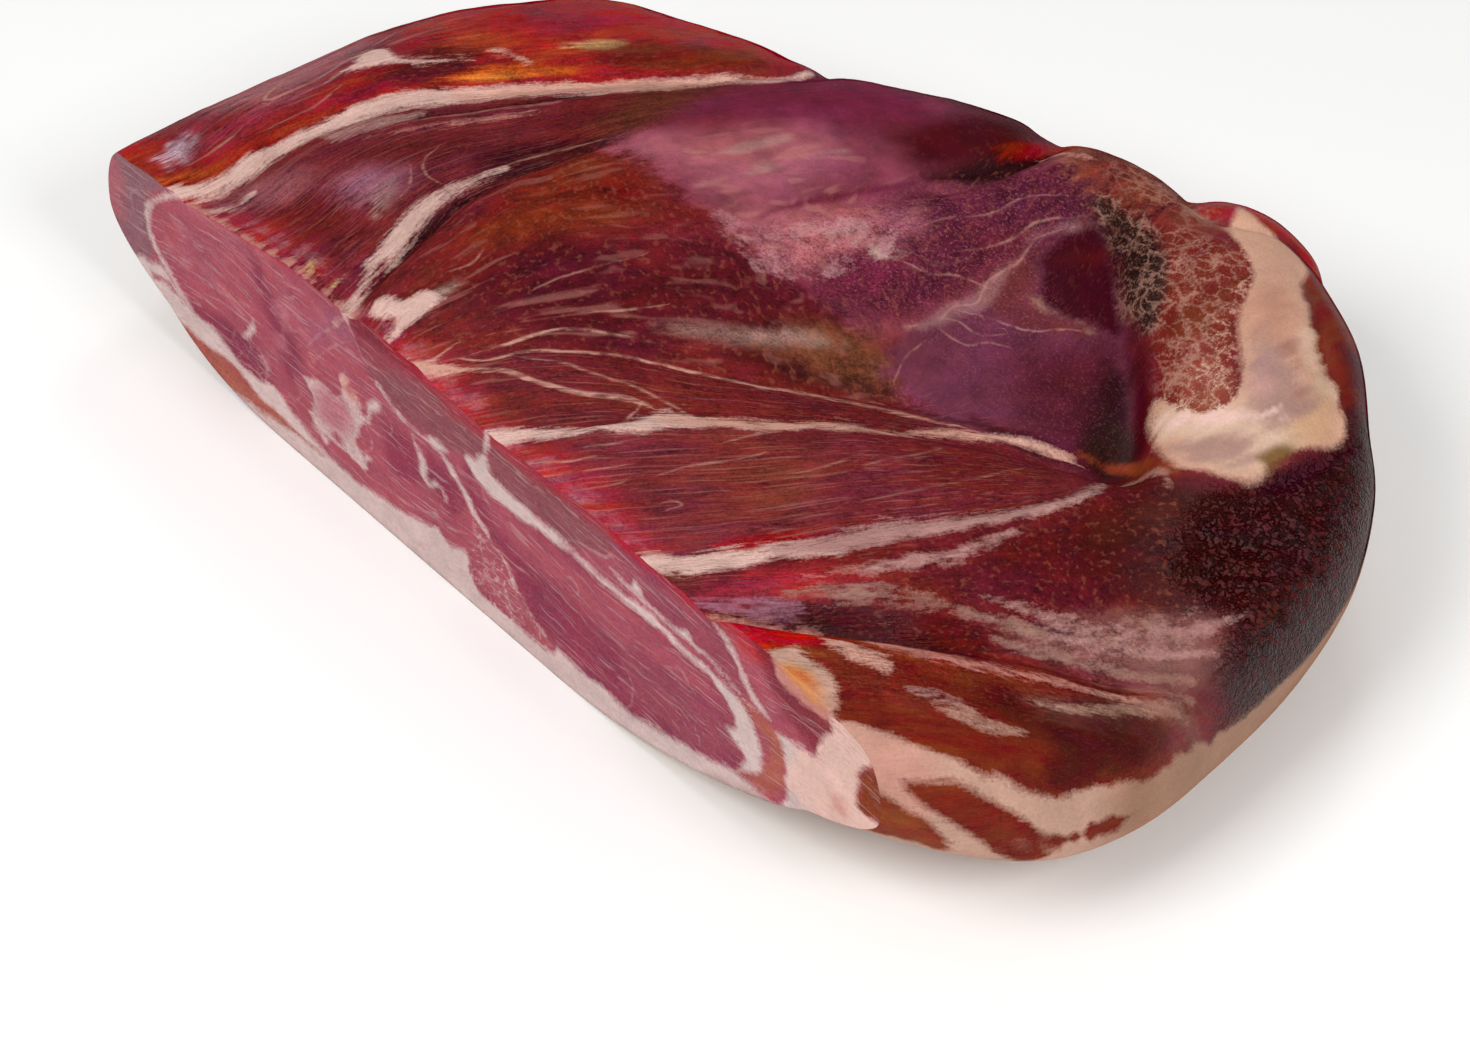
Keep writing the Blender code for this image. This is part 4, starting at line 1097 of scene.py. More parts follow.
# The fat: the rim, the membranes and the patches within the muscles
CUT_FAT: Shapes = (
    patch(F, Tone.CUT_FAT, (-12, 16), (10, 24), (17, 27), (24, 23), (30, 20), (38, 19.5), (43, 17), (50, 14),
        (57.5, 13.5), (62, 15.5), (67, 15), (73, 12.5), (83.5, 9), (94, 8), (100.5, 8), (108, 10),
        (119, 11.5), (126, 14), (133, 16), (137, 13), (145, 16.5), (147, 7), (156, 6.5), (170, 6),
        (178, 7.5), (179, 10), (190, 9.5), (196, 11), (204, 9), (213, 10), (221, 12.5), (231, 16), (240, 19),
        (246, 21), (254, 20), (262, 24), (262, 40), (259, 46), (268, 47), (272, 49), (274, 56), (277, 62),
        (280, 72), (310, 70), (310, -10), (-12, -10), feather=1, ragged=0.7),
    band(F, Tone.CUT_FAT, (38, 66, 1.2), (33, 61, 1.2), (27.5, 56.5, 1), (21, 51.5, 1), (14.5, 45, 1.1),
        (12, 38.5, 1.1), (13.5, 32, 1.2), (18, 27.5, 1.3), (24, 23.5, 1.2), (30, 20, 1), ragged=0.4),
    patch(F, Tone.CUT_FAT, (78.5, 30), (81, 32), (85, 32.5), (89, 33), (94, 36), (95, 41), (97, 42.5),
        (98, 39), (102, 39), (103.5, 35), (103, 31), (101, 27), (100.5, 22), (107.5, 22.5), (106, 17.5),
        (102, 15), (96, 17), (92, 19), (90, 16), (86, 14), (82, 14.5), (80, 17), (82, 21), (82, 25),
        feather=1, ragged=2, strength=0.8),
    patch(FT, Tone.CUT_PINK, (84, 20), (93, 20), (99, 26), (96, 34), (86, 31), feather=4, strength=0.9),
    patch(FT, Tone.WARM_CREAM, (96, 36), (102, 36), (103, 42), (97, 42), feather=2),
    stroke(F, Tone.CUT_FAT, 1.4, (105.5, 33), (107, 38), (110, 42), (112, 44), ragged=1),
    stroke(F, Tone.CUT_PINK, 1.2, (68, 45), (72, 48), (76, 45), ragged=1.5, strength=0.5),
    stroke(F, Tone.CUT_FAT, 1, (59.5, 36), (57.5, 31), (54, 26.5), (51, 23), ragged=0.6),
    band(F, Tone.CUT_FAT, (124.5, 42, 0.5), (126.5, 38.5, 1.1), (128.5, 35, 1.2), (128.5, 31, 1.1),
        (130.5, 29.5, 0.8), (134, 32, 0.6), (136.5, 31, 0.5), (137, 28.5, 0.2), ragged=0.5),
    band(F, Tone.CUT_FAT, (110.5, 48.5, 0.4), (116, 46.5, 0.6), (121, 45, 0.7), (128, 44.5, 0.8),
        (134, 44.5, 1.4), (139, 42, 0.8), (143, 37.5, 0.8), (147, 33, 1.1), (152, 29.5, 1),
        (158.5, 25.5, 0.8), (164.5, 19, 0.8), (170.5, 12.5, 0.8), (174, 10.5, 1)),
    patch(F, Tone.CUT_FAT, (131, 47), (135, 48), (139, 46), (136, 43.5), (132, 43.5), ragged=1),
    patch(F, Tone.CUT_FAT, (146, 50), (150, 52.5), (153.5, 57), (155, 57), (156, 53), (160, 51), (170, 50),
        (184, 49.5), (196, 48.5), (196, 46.5), (182, 47), (170, 45), (160, 45), (152, 45.5), (147, 48)),
    stroke(F, Tone.CUT_FAT, 1, (156.5, 67), (155.5, 62), (154.5, 57), ragged=0.5),
    stroke(F, Tone.CUT_FAT, 1.3, (190, 47.5), (200, 47.5), (215, 48), (226, 47), (235, 46.5), (242, 44)),
    patch(F, Tone.CUT_FAT, (236, 47), (246, 46), (252, 41), (254.5, 34), (253, 27), (249, 22.5), (245, 20.5),
        (248, 26.5), (247.5, 29), (241, 33), (244.5, 35), (244.5, 39), (241, 42.5), (236, 45), ragged=0.5),
    stroke(F, Tone.CUT_FAT, 1.2, (235, 66), (242, 61.5), (247, 56), (252, 50.5), (257, 48), ragged=0.5),
    band(F, Tone.CUT_FAT, (201, 53.5, 0.3), (209, 52, 0.5), (221.5, 51.5, 0.6), (228, 52, 0.8),
        (240, 50, 0.5), (247.5, 48, 0.4), (252, 46, 0.3), ragged=0.3),
    patch(F, Tone.CUT_FAT, (208, 53), (209, 56.5), (211, 56), (213, 52.5), ragged=0.7),
    patch(F, Tone.CUT_FAT, (225, 52), (228, 54.5), (231, 52), ragged=0.5),
    stroke(B, None, 1.7, (249, 46), (254, 45.5), (258, 43), (259.5, 38.5), (259, 31), (256, 25.5),
        (250.5, 22), (246, 21), ragged=0.4),
    stroke(T, Tone.CUT_BROWN, 3, (249, 46), (258, 43), (259.5, 38.5), (256, 25.5), (246, 21)),
    patch(B, None, (22, 10.5), (35, 10.5), (48, 11), (55.5, 8.5), (67, 7.5), (84.5, 6.5), (69.5, 5),
        (56.5, 3), (38, 2.5), (25.5, 4.5), ragged=0.8),
    patch(T, Tone.CUT_BROWN, (20, 12), (35, 12), (60, 10), (88, 7), (60, 1), (20, 1)),
    stroke(B, None, 0.8, (13, 20.5), (19, 22), (26, 20), ragged=0.6),
    patch(B, None, (286, 54), (288, 45), (300, 42), (304, 60), (292, 62), feather=2, ragged=1.6),
    patch(FT, Tone.CREAM, (262, 30), (300, 30), (300, 66), (272, 66), (266, 46), feather=3),
    patch(FT, Tone.PINK_FAT, (278, 36), (283, 37), (282, 42), (278, 41), feather=2, strength=0.6),
    stroke(FT, Tone.GREY_FAT, 2.5, (236, 11), (250, 16), (262, 20), feather=3, strength=0.8),
    patch(F, Tone.PINK_FAT, (258, 69), (259, 64), (266, 62.5), (275, 62), (278, 68), (278, 80), (258, 80),
        feather=1),
    patch(FT, Tone.APRICOT, (260, 72), (263, 67), (268, 65.5), (273, 66), (275, 72), feather=1.5),
    stroke(F, Tone.WARM_CREAM, 1.2, (100, 63), (97, 60), (95, 58), ragged=1.5),
    stroke(F, Tone.CREAM, 1.2, (101, 72), (100.5, 66), (101.5, 60), ragged=0.6),
)

# Where the sliced meat is marbled and where it is laced
CUT_TEXTURES: Shapes = (
    patch(MB, None, (10, 14), (10, 66), (280, 76), (280, 20), (180, 4), (80, 6), feather=2, strength=0.6),
    patch(LC, None, (148, 30), (158, 25), (166, 17), (172, 10), (176, 7.5), (148, 7), (146, 20),
        strength=0.6),
    patch(LC, None, (48, 15), (62, 16), (62, 25), (50, 26), strength=0.35),
)

# The fine lines of fat between and within the sliced muscles, and one crack drawn dark as painted shade
CUT_THREADS: Threads = (
    thread(0, 0.7, 0.4, (38, 52.5), (46, 53.5), (58, 53.5), (62, 52.5)),
    thread(0, 0.6, 0.5, (17, 33), (33, 33.5), (46, 35.5), (57, 39), (61, 40)),
    thread(1, 0.6, 0.4, (36, 29.5), (46, 32), (56, 33), (60, 32)),
    thread(1, 0.5, 0.3, (30, 48), (42, 50), (54, 50), (66, 49)),
    thread(1, 0.6, 0.3, (47, 20), (49, 25), (54, 27), (60, 26), (62.5, 21), (61, 16)),
    thread(0, 0.6, 0.4, (13, 49), (8, 46), (5.5, 42), (6, 37)),
    thread(1, 0.7, 0.5, (102, 60), (103.5, 56.5), (106, 53), (112.5, 54), (120, 54.5), (127, 56.5)),
    # A fine crack drawn dark: painted shade
    thread(0, -0.5, 0.4, (102, 58), (105, 53), (108, 50), (114, 47.5)),
    thread(0, 0.5, 0.5, (82, 42), (88, 50), (95, 57), (99, 62)),
    thread(1, 0.5, 0.4, (84, 38), (91, 47), (97, 53), (101, 56)),
    thread(2, 0.7, 0.5, (104, 31), (107, 27.5), (106.5, 24), (103, 21)),
    thread(1, 0.6, 0.6, (113, 42), (116, 38), (114.5, 34)),
    thread(2, 0.6, 0.5, (114, 20), (124, 17.5), (134, 19), (144, 22.5)),
    thread(0, 0.6, 0.4, (104, 13.5), (112, 14.5), (122, 15.5), (132, 20), (141, 21)),
    thread(1, 0.5, 0.5, (73, 12), (80, 11.5), (90, 11.5), (100, 9.5)),
    thread(0, 0.5, 0.5, (72, 16), (77, 22), (74, 28)),
    thread(0, 0.8, 0.6, (184.5, 50.5), (189.5, 53.5), (199, 56), (201.5, 58.5), (208, 60)),
    thread(1, 0.6, 0.5, (188, 52), (193, 51.5), (198, 51)),
    thread(1, 0.5, 0.4, (201, 58), (205, 56), (208, 54.5)),
    thread(0, 0.4, 0.4, (170, 31), (180, 30), (190.5, 28), (200, 26.5), (215, 26), (231, 26.5)),
    thread(1, 0.7, 0.4, (204.5, 24.5), (207.5, 19), (207, 12.5), (205.5, 10)),
    thread(2, 0.7, 0.6, (221, 36.5), (224, 38), (226, 39), (230, 35)),
    thread(2, 0.6, 0.4, (231, 24.5), (231.5, 22), (232.5, 18.5)),
    thread(1, 0.6, 0.5, (184, 38), (186, 39), (188.5, 36.5), (187.5, 34.5)),
    thread(2, 0.6, 0.5, (152, 46), (153, 42), (155, 39.5)),
    thread(1, 0.5, 0.3, (251, 60), (260, 58), (270, 55)),
    thread(1, 0.8, 0.5, (238, 32), (243, 31.5), (246, 30.5)),
)

CUT_SIDE = Painting(CUT_MUSCLES + CUT_FAT + CUT_TEXTURES, CUT_THREADS)


# The steep side below the top's edge. Its points are (way round the rim from the cut's right end, z)

RIM_SHAPES: Shapes = (
    patch(F, Tone.IVORY, (-3, 60), (9.5, 58.5), (18.5, 57), (29.5, 52.5), (41, 46.5), (53.5, 43.5),
        (66.5, 40), (79.5, 37.5), (92.5, 34.5), (122, 32.5), (150, 34), (175, 41), (200, 43), (225, 43),
        (250, 46.5), (280, 46), (305, 49), (335, 48), (360, 49), (385, 46), (410, 47), (440, 44), (470, 46),
        (500, 44), (530, 44.5), (560, 41), (590, 42), (615, 39), (640, 39), (640, -8), (300, -8), (-3, -8),
        feather=1, ragged=1.6),
    patch(SM, None, (-6, 66), (30, 60), (80, 50), (180, 44), (180, 4), (-6, 4), feather=4, strength=0.6),
    patch(FT, Tone.CORNER_FAT, (-6, 66), (30, 60), (80, 44), (80, 20), (-6, 20), feather=4),
    patch(FT, Tone.PINK_FAT, (-6, 66), (10, 62), (14, 54), (6, 46), (-6, 40), feather=4, strength=0.5),
    patch(FT, Tone.RIM_FAT, (56, 50), (120, 40), (178, 42), (178, 10), (120, 8), (60, 16), feather=8),
    patch(T, Tone.BROWN_RED, (0, 60), (14, 61), (30, 52), (44, 42), (46, 26), (30, 26), (10, 32), (-4, 38),
        feather=2),
    patch(T, Tone.RUST, (-5, 56), (5, 53), (18, 38), (10, 33), (-5, 36), feather=2, strength=0.7),
    patch(T, Tone.LEATHER, (38, 49), (45, 47), (55, 45), (66, 42), (76, 44), (70, 54), (52, 57), (42, 54),
        feather=2.5, strength=0.7),
    patch(B, None, (4.5, 57.5), (14, 57.5), (18.5, 56), (24, 51), (29.5, 46), (35, 40), (41, 33), (36, 28),
        (29.5, 31), (24, 38), (14, 48), (6, 54.5), feather=1),
    patch(B, None, (-5, 56), (0, 54), (9.5, 47), (17, 37), (12, 35), (4, 39), (-5, 37), feather=1,
        ragged=1.4),
    stroke(F, Tone.RUST, 3, (26, 36), (41, 34), (53.5, 32), (66.5, 28.5), (92, 25), strength=0.8),
    stroke(B, None, 1.6, (30, 34), (41, 33.5), (53.5, 31.5), (66, 28), ragged=2.2),
)

# The small upright crack beside the corner, drawn dark as painted shade
RIM_THREADS: Threads = (thread(2, -0.5, 0.3, (27, 54), (27, 47), (27, 38)),)

RIM_SIDE = Painting(RIM_SHAPES, RIM_THREADS)


@dataclass(frozen=True)
class Fibres:
    """The way that the muscle fibres run, between guide lines that follow the seams."""

    guides: tuple[Points, ...] = (
        ((-40, -10), (-40, 240)),
        ((31, -10), (35, 10), (30, 35), (36, 65), (54, 91), (76, 116), (92, 143), (98, 170), (98, 240)),
        ((108, -10), (99, 5), (90, 30), (80, 55), (86, 78), (92, 100), (104, 130), (128, 170), (140, 240)),
        ((128, -10), (134, 8), (150, 31), (178, 53), (203, 75), (214, 95), (205, 130), (196, 170),
         (190, 240)),
        ((154, -10), (166, 15), (180, 34), (199, 56), (213, 74), (230, 92), (250, 108), (246, 140),
         (240, 240)),
        ((209, -10), (222, 12), (230, 26), (239, 47), (247, 66), (254, 88), (262, 110), (280, 140),
         (286, 240)),
        ((227, -10), (243, 6), (259, 23), (276, 43), (300, 63), (318, 84), (330, 120), (340, 240)),
        ((310, -30), (345, 20), (370, 80), (380, 240)),
    )

    def coordinates(self, x: Values, y: Values) -> tuple[Values, Values]:
        """Give where each place lies across and along the fibres.

        Args:
            x: Places along the cut.
            y: Places back from the cut.

        Returns:
            The place across the fibres, as a length on the cut, and the place along them.
        """
        gaps = []
        starts = []
        for guide in self.guides:
            line = smooth_line([p + (0.0,) for p in guide])
            gaps.append(-nearest(x, y, line)[0])
            starts.append(guide[0][0])
        across = np.full(x.shape, float(starts[0]))
        for left, right, here, there in zip(gaps[:-1], gaps[1:], starts[:-1], starts[1:]):
            between = (left >= 0) & (right < 0)
            share = left / np.maximum(left - right, 1e-6)
            across = np.where(between, here + (there - here) * share, across)
        return across, 0.5 * x + 0.86 * y

    def direction(self, x: Values, y: Values) -> tuple[Values, Values]:
        """Give the way that the fibres run at each place, as a step of length 1 in x and y."""
        here = self.coordinates(x, y)[0]
        rise_x = self.coordinates(x + 1, y)[0] - here
        rise_y = self.coordinates(x, y + 1)[0] - here
        length = np.maximum(np.hypot(rise_x, rise_y), 1e-6)
        return -rise_y / length, rise_x / length


def add_node(tree: bpy.types.NodeTree, kind: str, inputs: dict[str | int, Source] | None = None,
             **settings: object) -> bpy.types.NodeSocket:
    """Add one node with its settings and links.

    Args:
        tree: The material's nodes.
        kind: Blender's name of the node, without its first word ShaderNode.
        inputs: For each input, a value or the output that it takes its value from.
        settings: The node's own settings, by name.

    Returns:
        The node's result, which is its first output, or its third for a mix of colours.
    """
    node = tree.nodes.new("ShaderNode" + kind)
    for name, value in settings.items():
        setattr(node, name, value)
    for name, value in (inputs or {}).items():
        if isinstance(value, bpy.types.NodeSocket):
            tree.links.new(value, node.inputs[name])
        else:
            node.inputs[name].default_value = value
    return node.outputs[2 if settings.get("data_type") == "RGBA" else 0]


@dataclass(frozen=True)
class MeatFinish:
    """Cured meat and its fat: dried muscle, satin with its own grease, and firm ivory fat.

    Lengths are in millimetres. The swings are shares by which the meat grows lighter and darker.
    """

    name: str
    thread: Tone
    # The tone of dark threads: painted shade in fine cracks
    crack: Tone
    marbling: Tone
    fleck: Tone
    lace: Tone
    pale_grit: Tone
    dark_grit: Tone
    fibre_width: float
    fibre_length: float
    broad_swing: float
    fibre_swing: float
    speck_swing: float
    cloud_swing: float
    hue_swing: float
    saturation: float
    brightness: float
    fleck_share: float
    marbling_share: float
    thread_share: float
    lace_cell: float
    lace_line: float
    fat_edge_wander: float
    roughness: float
    fat_roughness: float
    fibre_height: float
    wrinkle_height: float
    grain_height: float = 0.25
    grit_share: float = 0.5
    cloud_size: float = 9.0
    speck_size: float = 0.8
    wrinkle_size: float = 2.0
    ior: float = 1.45


@dataclass
class MeatShader:
    """The nodes that turn the painting on the mesh into meat and fat."""

    finish: MeatFinish

    def build(self) -> bpy.types.Material:
        """Build the material, which reads the painting from the mesh."""
        material = bpy.data.materials.new(self.finish.name)
        material.use_nodes = True
        self.add = partial(add_node, material.node_tree)
        self.read_painting()
        self.add_noises()
        colour = self.meat_colour()
        colour = self.add_lace(colour)
        colour = self.add_threads(colour)
        results = {"Base Color": self.cover_with_fat(colour), "Roughness": self.roughness(),
                   "Specular IOR Level": self.mirror(), "Normal": self.relief()}
        surface = material.node_tree.nodes["Principled BSDF"]
        for name, result in results.items():
            material.node_tree.links.new(result, surface.inputs[name])
        surface.inputs["IOR"].default_value = self.finish.ior
        return material

    def read_painting(self) -> None:
        """Read what the mesh carries."""
        names = ("tint_a", "tint_b", "fat_tint", "amounts", "wear", "grit", "grain", "thread_0", "thread_1",
                 "thread_2")
        kept = {name: self.add("Attribute", attribute_name=name).node.outputs for name in names}
        split = {name: self.add("SeparateXYZ", {0: kept[name]["Vector"]}).node.outputs
                 for name in ("amounts", "wear", "thread_0", "thread_1", "thread_2")}
        self.tints = [kept[name]["Color"] for name in ("tint_a", "tint_b", "fat_tint")]
        self.fat, self.marbling, self.lace = split["amounts"]
        self.greasy, self.leather, smooth = split["wear"]
        self.grit = kept["grit"]["Fac"]
        self.grain = kept["grain"]["Vector"]
        self.threads = [split[f"thread_{channel}"] for channel in range(CHANNELS)]
        self.fibrous = self.add("Math", {0: 1.0, 1: smooth}, operation="SUBTRACT")

    def add_noises(self) -> None:
        """Lay out the uneven patterns: along the fibres, and even in all directions."""
        finish = self.finish
        width, length = finish.fibre_width, finish.fibre_length
        place = self.add("TexCoord").node.outputs["Object"]
        self.place = self.add("VectorMath", {0: place, "Scale": 1 / METRES_PER_MM}, operation="SCALE")
        self.noise: dict[str, bpy.types.NodeSocket] = {}
        self.swing: dict[str, bpy.types.NodeSocket] = {}
        for name, source, across, along, detail, fine in (
                ("cloud", self.place, finish.cloud_size, finish.cloud_size, 3.0, 0.6),
                ("speck", self.place, finish.speck_size, finish.speck_size, 2.0, 0.8),
                ("wrinkle", self.place, finish.wrinkle_size, finish.wrinkle_size, 2.0, 0.6),
                ("broad", self.grain, 5 * width, 3 * length, 2.0, 0.6),
                ("fibre", self.grain, width, length, 4.0, 0.72),
                ("line", self.grain, 0.9 * width, 3.5 * length, 1.0, 0.5),
                ("fleck", self.grain, 0.6 * width, 0.2 * length, 1.0, 0.6),
                ("edge", self.grain, 1.6 * width, 0.8 * length, 3.0, 0.65)):
            scaled = self.add("VectorMath", {0: source, 1: (1 / across, 1 / along, 1 / across)},
                              operation="MULTIPLY")
            noise = self.add("TexNoise", {"Vector": scaled, "Scale": 1.0, "Detail": detail,
                                          "Roughness": fine})
            self.noise[name] = noise
            self.swing[name] = self.add("MapRange", {"Value": noise, "From Min": 0.3, "From Max": 0.7,
                                                     "To Min": -1.0, "To Max": 1.0})

        # Dried skin cracks into ridges along the level lines of a noise
        off = self.add("Math", {0: self.noise["wrinkle"], 1: 0.5}, operation="SUBTRACT")
        off = self.add("Math", {0: off}, operation="ABSOLUTE")
        self.wrinkle = self.add("MapRange", {"Value": off, "From Max": 0.09})
        self.vein = self.add("MapRange", {"Value": off, "From Max": 0.1})

    def meat_colour(self) -> bpy.types.NodeSocket:
        """Mix the meat's two painted tints along the fibres, with streaks, marbling and grains.

        Returns:
            The colour.
        """
        finish, swing = self.finish, self.swing
        streak = self.add("MapRange", {"Value": self.noise["fibre"], "From Min": 0.35, "From Max": 0.65},
                          interpolation_type="SMOOTHSTEP")
        tint = self.add("Mix", {0: streak, 6: self.tints[0], 7: self.tints[1]}, data_type="RGBA")
        drift: Source = 0.0
        for name, share in (("broad", finish.broad_swing), ("fibre", finish.fibre_swing),
                            ("speck", finish.speck_swing)):
            drift = self.add("Math", {0: swing[name], 1: share, 2: drift}, operation="MULTIPLY_ADD")
        # Dried skin is painted darker along its wrinkles' valleys: painted shade
        crease_shade = self.add("MapRange", {"Value": self.wrinkle, "To Min": -0.3, "To Max": 0.12})
        value: Source = finish.brightness
        for pattern, share in ((drift, self.fibrous), (swing["cloud"], finish.cloud_swing),
                               (crease_shade, self.leather)):
            value = self.add("Math", {0: pattern, 1: share, 2: value}, operation="MULTIPLY_ADD")
        hue = self.add("Math", {0: swing["broad"], 1: finish.hue_swing, 2: 0.5}, operation="MULTIPLY_ADD")
        colour = self.add("HueSaturation", {"Hue": hue, "Saturation": finish.saturation, "Value": value,
                                            "Color": tint})

        # Flecks, grains and marbling are the peaks and pits of the patterns
        moist = self.add("Math", {0: self.fibrous, 1: self.leather}, operation="SUBTRACT")
        for name, start, stop, amount, share, tone in (
                ("fleck", 0.54, 0.74, moist, finish.fleck_share, finish.fleck),
                ("speck", 0.54, 0.72, self.grit, finish.grit_share, finish.pale_grit),
                ("speck", 0.46, 0.32, self.grit, finish.grit_share, finish.dark_grit),
                ("line", 0.56, 0.72, self.marbling, finish.marbling_share, finish.marbling)):
            peak = self.add("MapRange", {"Value": self.noise[name], "From Min": start, "From Max": stop,
                                         "To Max": share}, interpolation_type="SMOOTHSTEP")
            peak = self.add("Math", {0: peak, 1: amount}, operation="MULTIPLY")
            colour = self.add("Mix", {0: peak, 6: colour, 7: tone.rgba}, data_type="RGBA")
        return colour

    def add_lace(self, colour: bpy.types.NodeSocket) -> bpy.types.NodeSocket:
        """Lay fat threads round the cells of spongy bone and connective tissue.

        Args:
            colour: The colour below.

        Returns:
            The colour with the lace.
        """
        cell = self.finish.lace_cell
        edge = self.finish.lace_line / cell
        warp = self.noise["edge"].node.outputs["Color"]
        bent = self.add("VectorMath", {0: warp, 1: (1.1 * cell,) * 3, 2: self.place},
                        operation="MULTIPLY_ADD")
        bent = self.add("VectorMath", {0: bent, 1: (0.6 / cell, 1 / cell, 1 / cell)}, operation="MULTIPLY")
        cells = self.add("TexVoronoi", {"Vector": bent, "Scale": 1.0}, feature="DISTANCE_TO_EDGE")
        off = self.add("Math", {0: cells, 1: self.vein}, operation="MINIMUM")
        for name, share in (("cloud", -0.9), ("speck", -0.8)):
            off = self.add("Math", {0: self.swing[name], 1: share * edge, 2: off}, operation="MULTIPLY_ADD")
        net = self.add("MapRange", {"Value": off, "From Min": edge * 1.5, "From Max": -edge},
                       interpolation_type="SMOOTHSTEP")
        self.net = self.add("Math", {0: net, 1: self.lace}, operation="MULTIPLY")
        return self.add("Mix", {0: self.net, 6: colour, 7: self.finish.lace.rgba}, data_type="RGBA")

    def add_threads(self, colour: bpy.types.NodeSocket) -> bpy.types.NodeSocket:
        """Draw each channel's nearest thread from its distance, strength and half width.

        Args:
            colour: The colour below.

        Returns:
            The colour with the threads.
        """
        full = self.finish.thread_share
        broken = self.add("MapRange", {"Value": self.noise["edge"], "From Min": 0.4, "From Max": 0.58,
                                       "To Min": 0.15 * full, "To Max": full})
        for distance, strength, half_width in self.threads:
            off = self.add("Math", {0: self.swing["edge"], 1: 0.25, 2: distance}, operation="MULTIPLY_ADD")
            off = self.add("Math", {0: off}, operation="ABSOLUTE")
            reach = self.add("Math", {0: half_width, 1: off}, operation="SUBTRACT")
            line = self.add("MapRange", {"Value": reach, "From Min": -0.4, "From Max": 0.3},
                            interpolation_type="SMOOTHSTEP")
            pale = self.add("Math", {0: strength, 1: 0.0}, operation="GREATER_THAN")
            share = self.add("Math", {0: strength}, operation="ABSOLUTE")
            for part in (line, broken):
                share = self.add("Math", {0: share, 1: part}, operation="MULTIPLY")
            # Dark threads take the crack tone, painted shade in the crack; pale ones the thread tone
            tone = self.add("Mix", {0: pale, 6: self.finish.crack.rgba, 7: self.finish.thread.rgba},
                            data_type="RGBA")
            colour = self.add("Mix", {0: share, 6: colour, 7: tone}, data_type="RGBA")
        return colour

    def cover_with_fat(self, colour: bpy.types.NodeSocket) -> bpy.types.NodeSocket:
        """Cover the meat with fat where the painting is above 0, with an edge drawn out along the fibres.

        Args:
            colour: The colour below.

        Returns:
            The colour of the whole surface.
        """
        swing = self.swing
        wander = self.add("Math", {0: swing["fibre"], 1: 0.7, 2: swing["edge"]}, operation="MULTIPLY_ADD")
        streaks = self.add("Math", {0: wander, 1: self.fibrous}, operation="MULTIPLY")
        holes = self.add("Math", {0: self.lace, 1: self.net}, operation="SUBTRACT")
        edge = self.fat
        for pattern, share in ((swing["speck"], 0.35), (streaks, self.finish.fat_edge_wander), (holes, -2.5),
                               (self.net, 1.0)):
            edge = self.add("Math", {0: pattern, 1: share, 2: edge}, operation="MULTIPLY_ADD")
        self.cover = self.add("MapRange", {"Value": edge, "From Min": FAT_STARTS, "From Max": FAT_COVERS})
        value: Source = 0.97
        for pattern, share in ((streaks, 0.1), (swing["cloud"], 0.1), (swing["speck"], 0.08)):
            value = self.add("Math", {0: pattern, 1: share, 2: value}, operation="MULTIPLY_ADD")
        fat = self.add("HueSaturation", {"Value": value, "Color": self.tints[2]})
        vein = self.add("MapRange", {"Value": self.noise["edge"], "From Min": 0.48, "From Max": 0.75,
                                     "To Max": 0.4}, interpolation_type="SMOOTHSTEP")
        vein = self.add("Math", {0: vein, 1: self.fibrous}, operation="MULTIPLY")
        fat = self.add("Mix", {0: vein, 6: fat, 7: self.tints[0]}, data_type="RGBA")
        return self.add("Mix", {0: self.cover, 6: colour, 7: fat}, data_type="RGBA")

    def roughness(self) -> bpy.types.NodeSocket:
        """Let greasy places and dried skin be smoother, and fat a little smoother than lean."""
        lean: Source = self.finish.roughness
        for pattern, share in ((self.greasy, -0.2), (self.leather, -0.12), (self.swing["cloud"], 0.05)):
            lean = self.add("Math", {0: pattern, 1: share, 2: lean}, operation="MULTIPLY_ADD")
        return self.add("Mix", {0: self.cover, 2: lean, 3: self.finish.fat_roughness}, data_type="FLOAT")

    def mirror(self) -> bpy.types.NodeSocket:
        """Let greasy places and dried skin shine, but nothing that is seen along the surface."""
        shine: Source = 0.11
        for pattern, share in ((self.greasy, 0.22), (self.leather, 0.1)):
            shine = self.add("Math", {0: pattern, 1: share, 2: shine}, operation="MULTIPLY_ADD")
        turned = self.add("LayerWeight", {"Blend": 0.5}).node.outputs["Facing"]
        front = self.add("Math", {0: turned, 1: -1.2, 2: 1.0}, operation="MULTIPLY_ADD", use_clamp=True)
        return self.add("Math", {0: shine, 1: front}, operation="MULTIPLY")

    def relief(self) -> bpy.types.NodeSocket:
        """Raise what is finer than the mesh: fibres, grain, and the wrinkles of dried skin."""
        fibre = self.add("Math", {0: self.noise["fibre"], 1: self.fibrous}, operation="MULTIPLY")
        lean = self.add("Math", {0: 1.0, 1: self.cover}, operation="SUBTRACT")
        wrinkle = self.add("Math", {0: self.wrinkle, 1: self.leather}, operation="MULTIPLY")
        wrinkle = self.add("Math", {0: wrinkle, 1: lean}, operation="MULTIPLY")
        height: Source = 0.0
        for pattern, rise in ((fibre, self.finish.fibre_height),
                              (self.noise["speck"], self.finish.grain_height),
                              (wrinkle, self.finish.wrinkle_height)):
            height = self.add("Math", {0: pattern, 1: rise * METRES_PER_MM, 2: height},
                              operation="MULTIPLY_ADD")
        return self.add("Bump", {"Strength": 1.0, "Distance": 1.0, "Height": height})


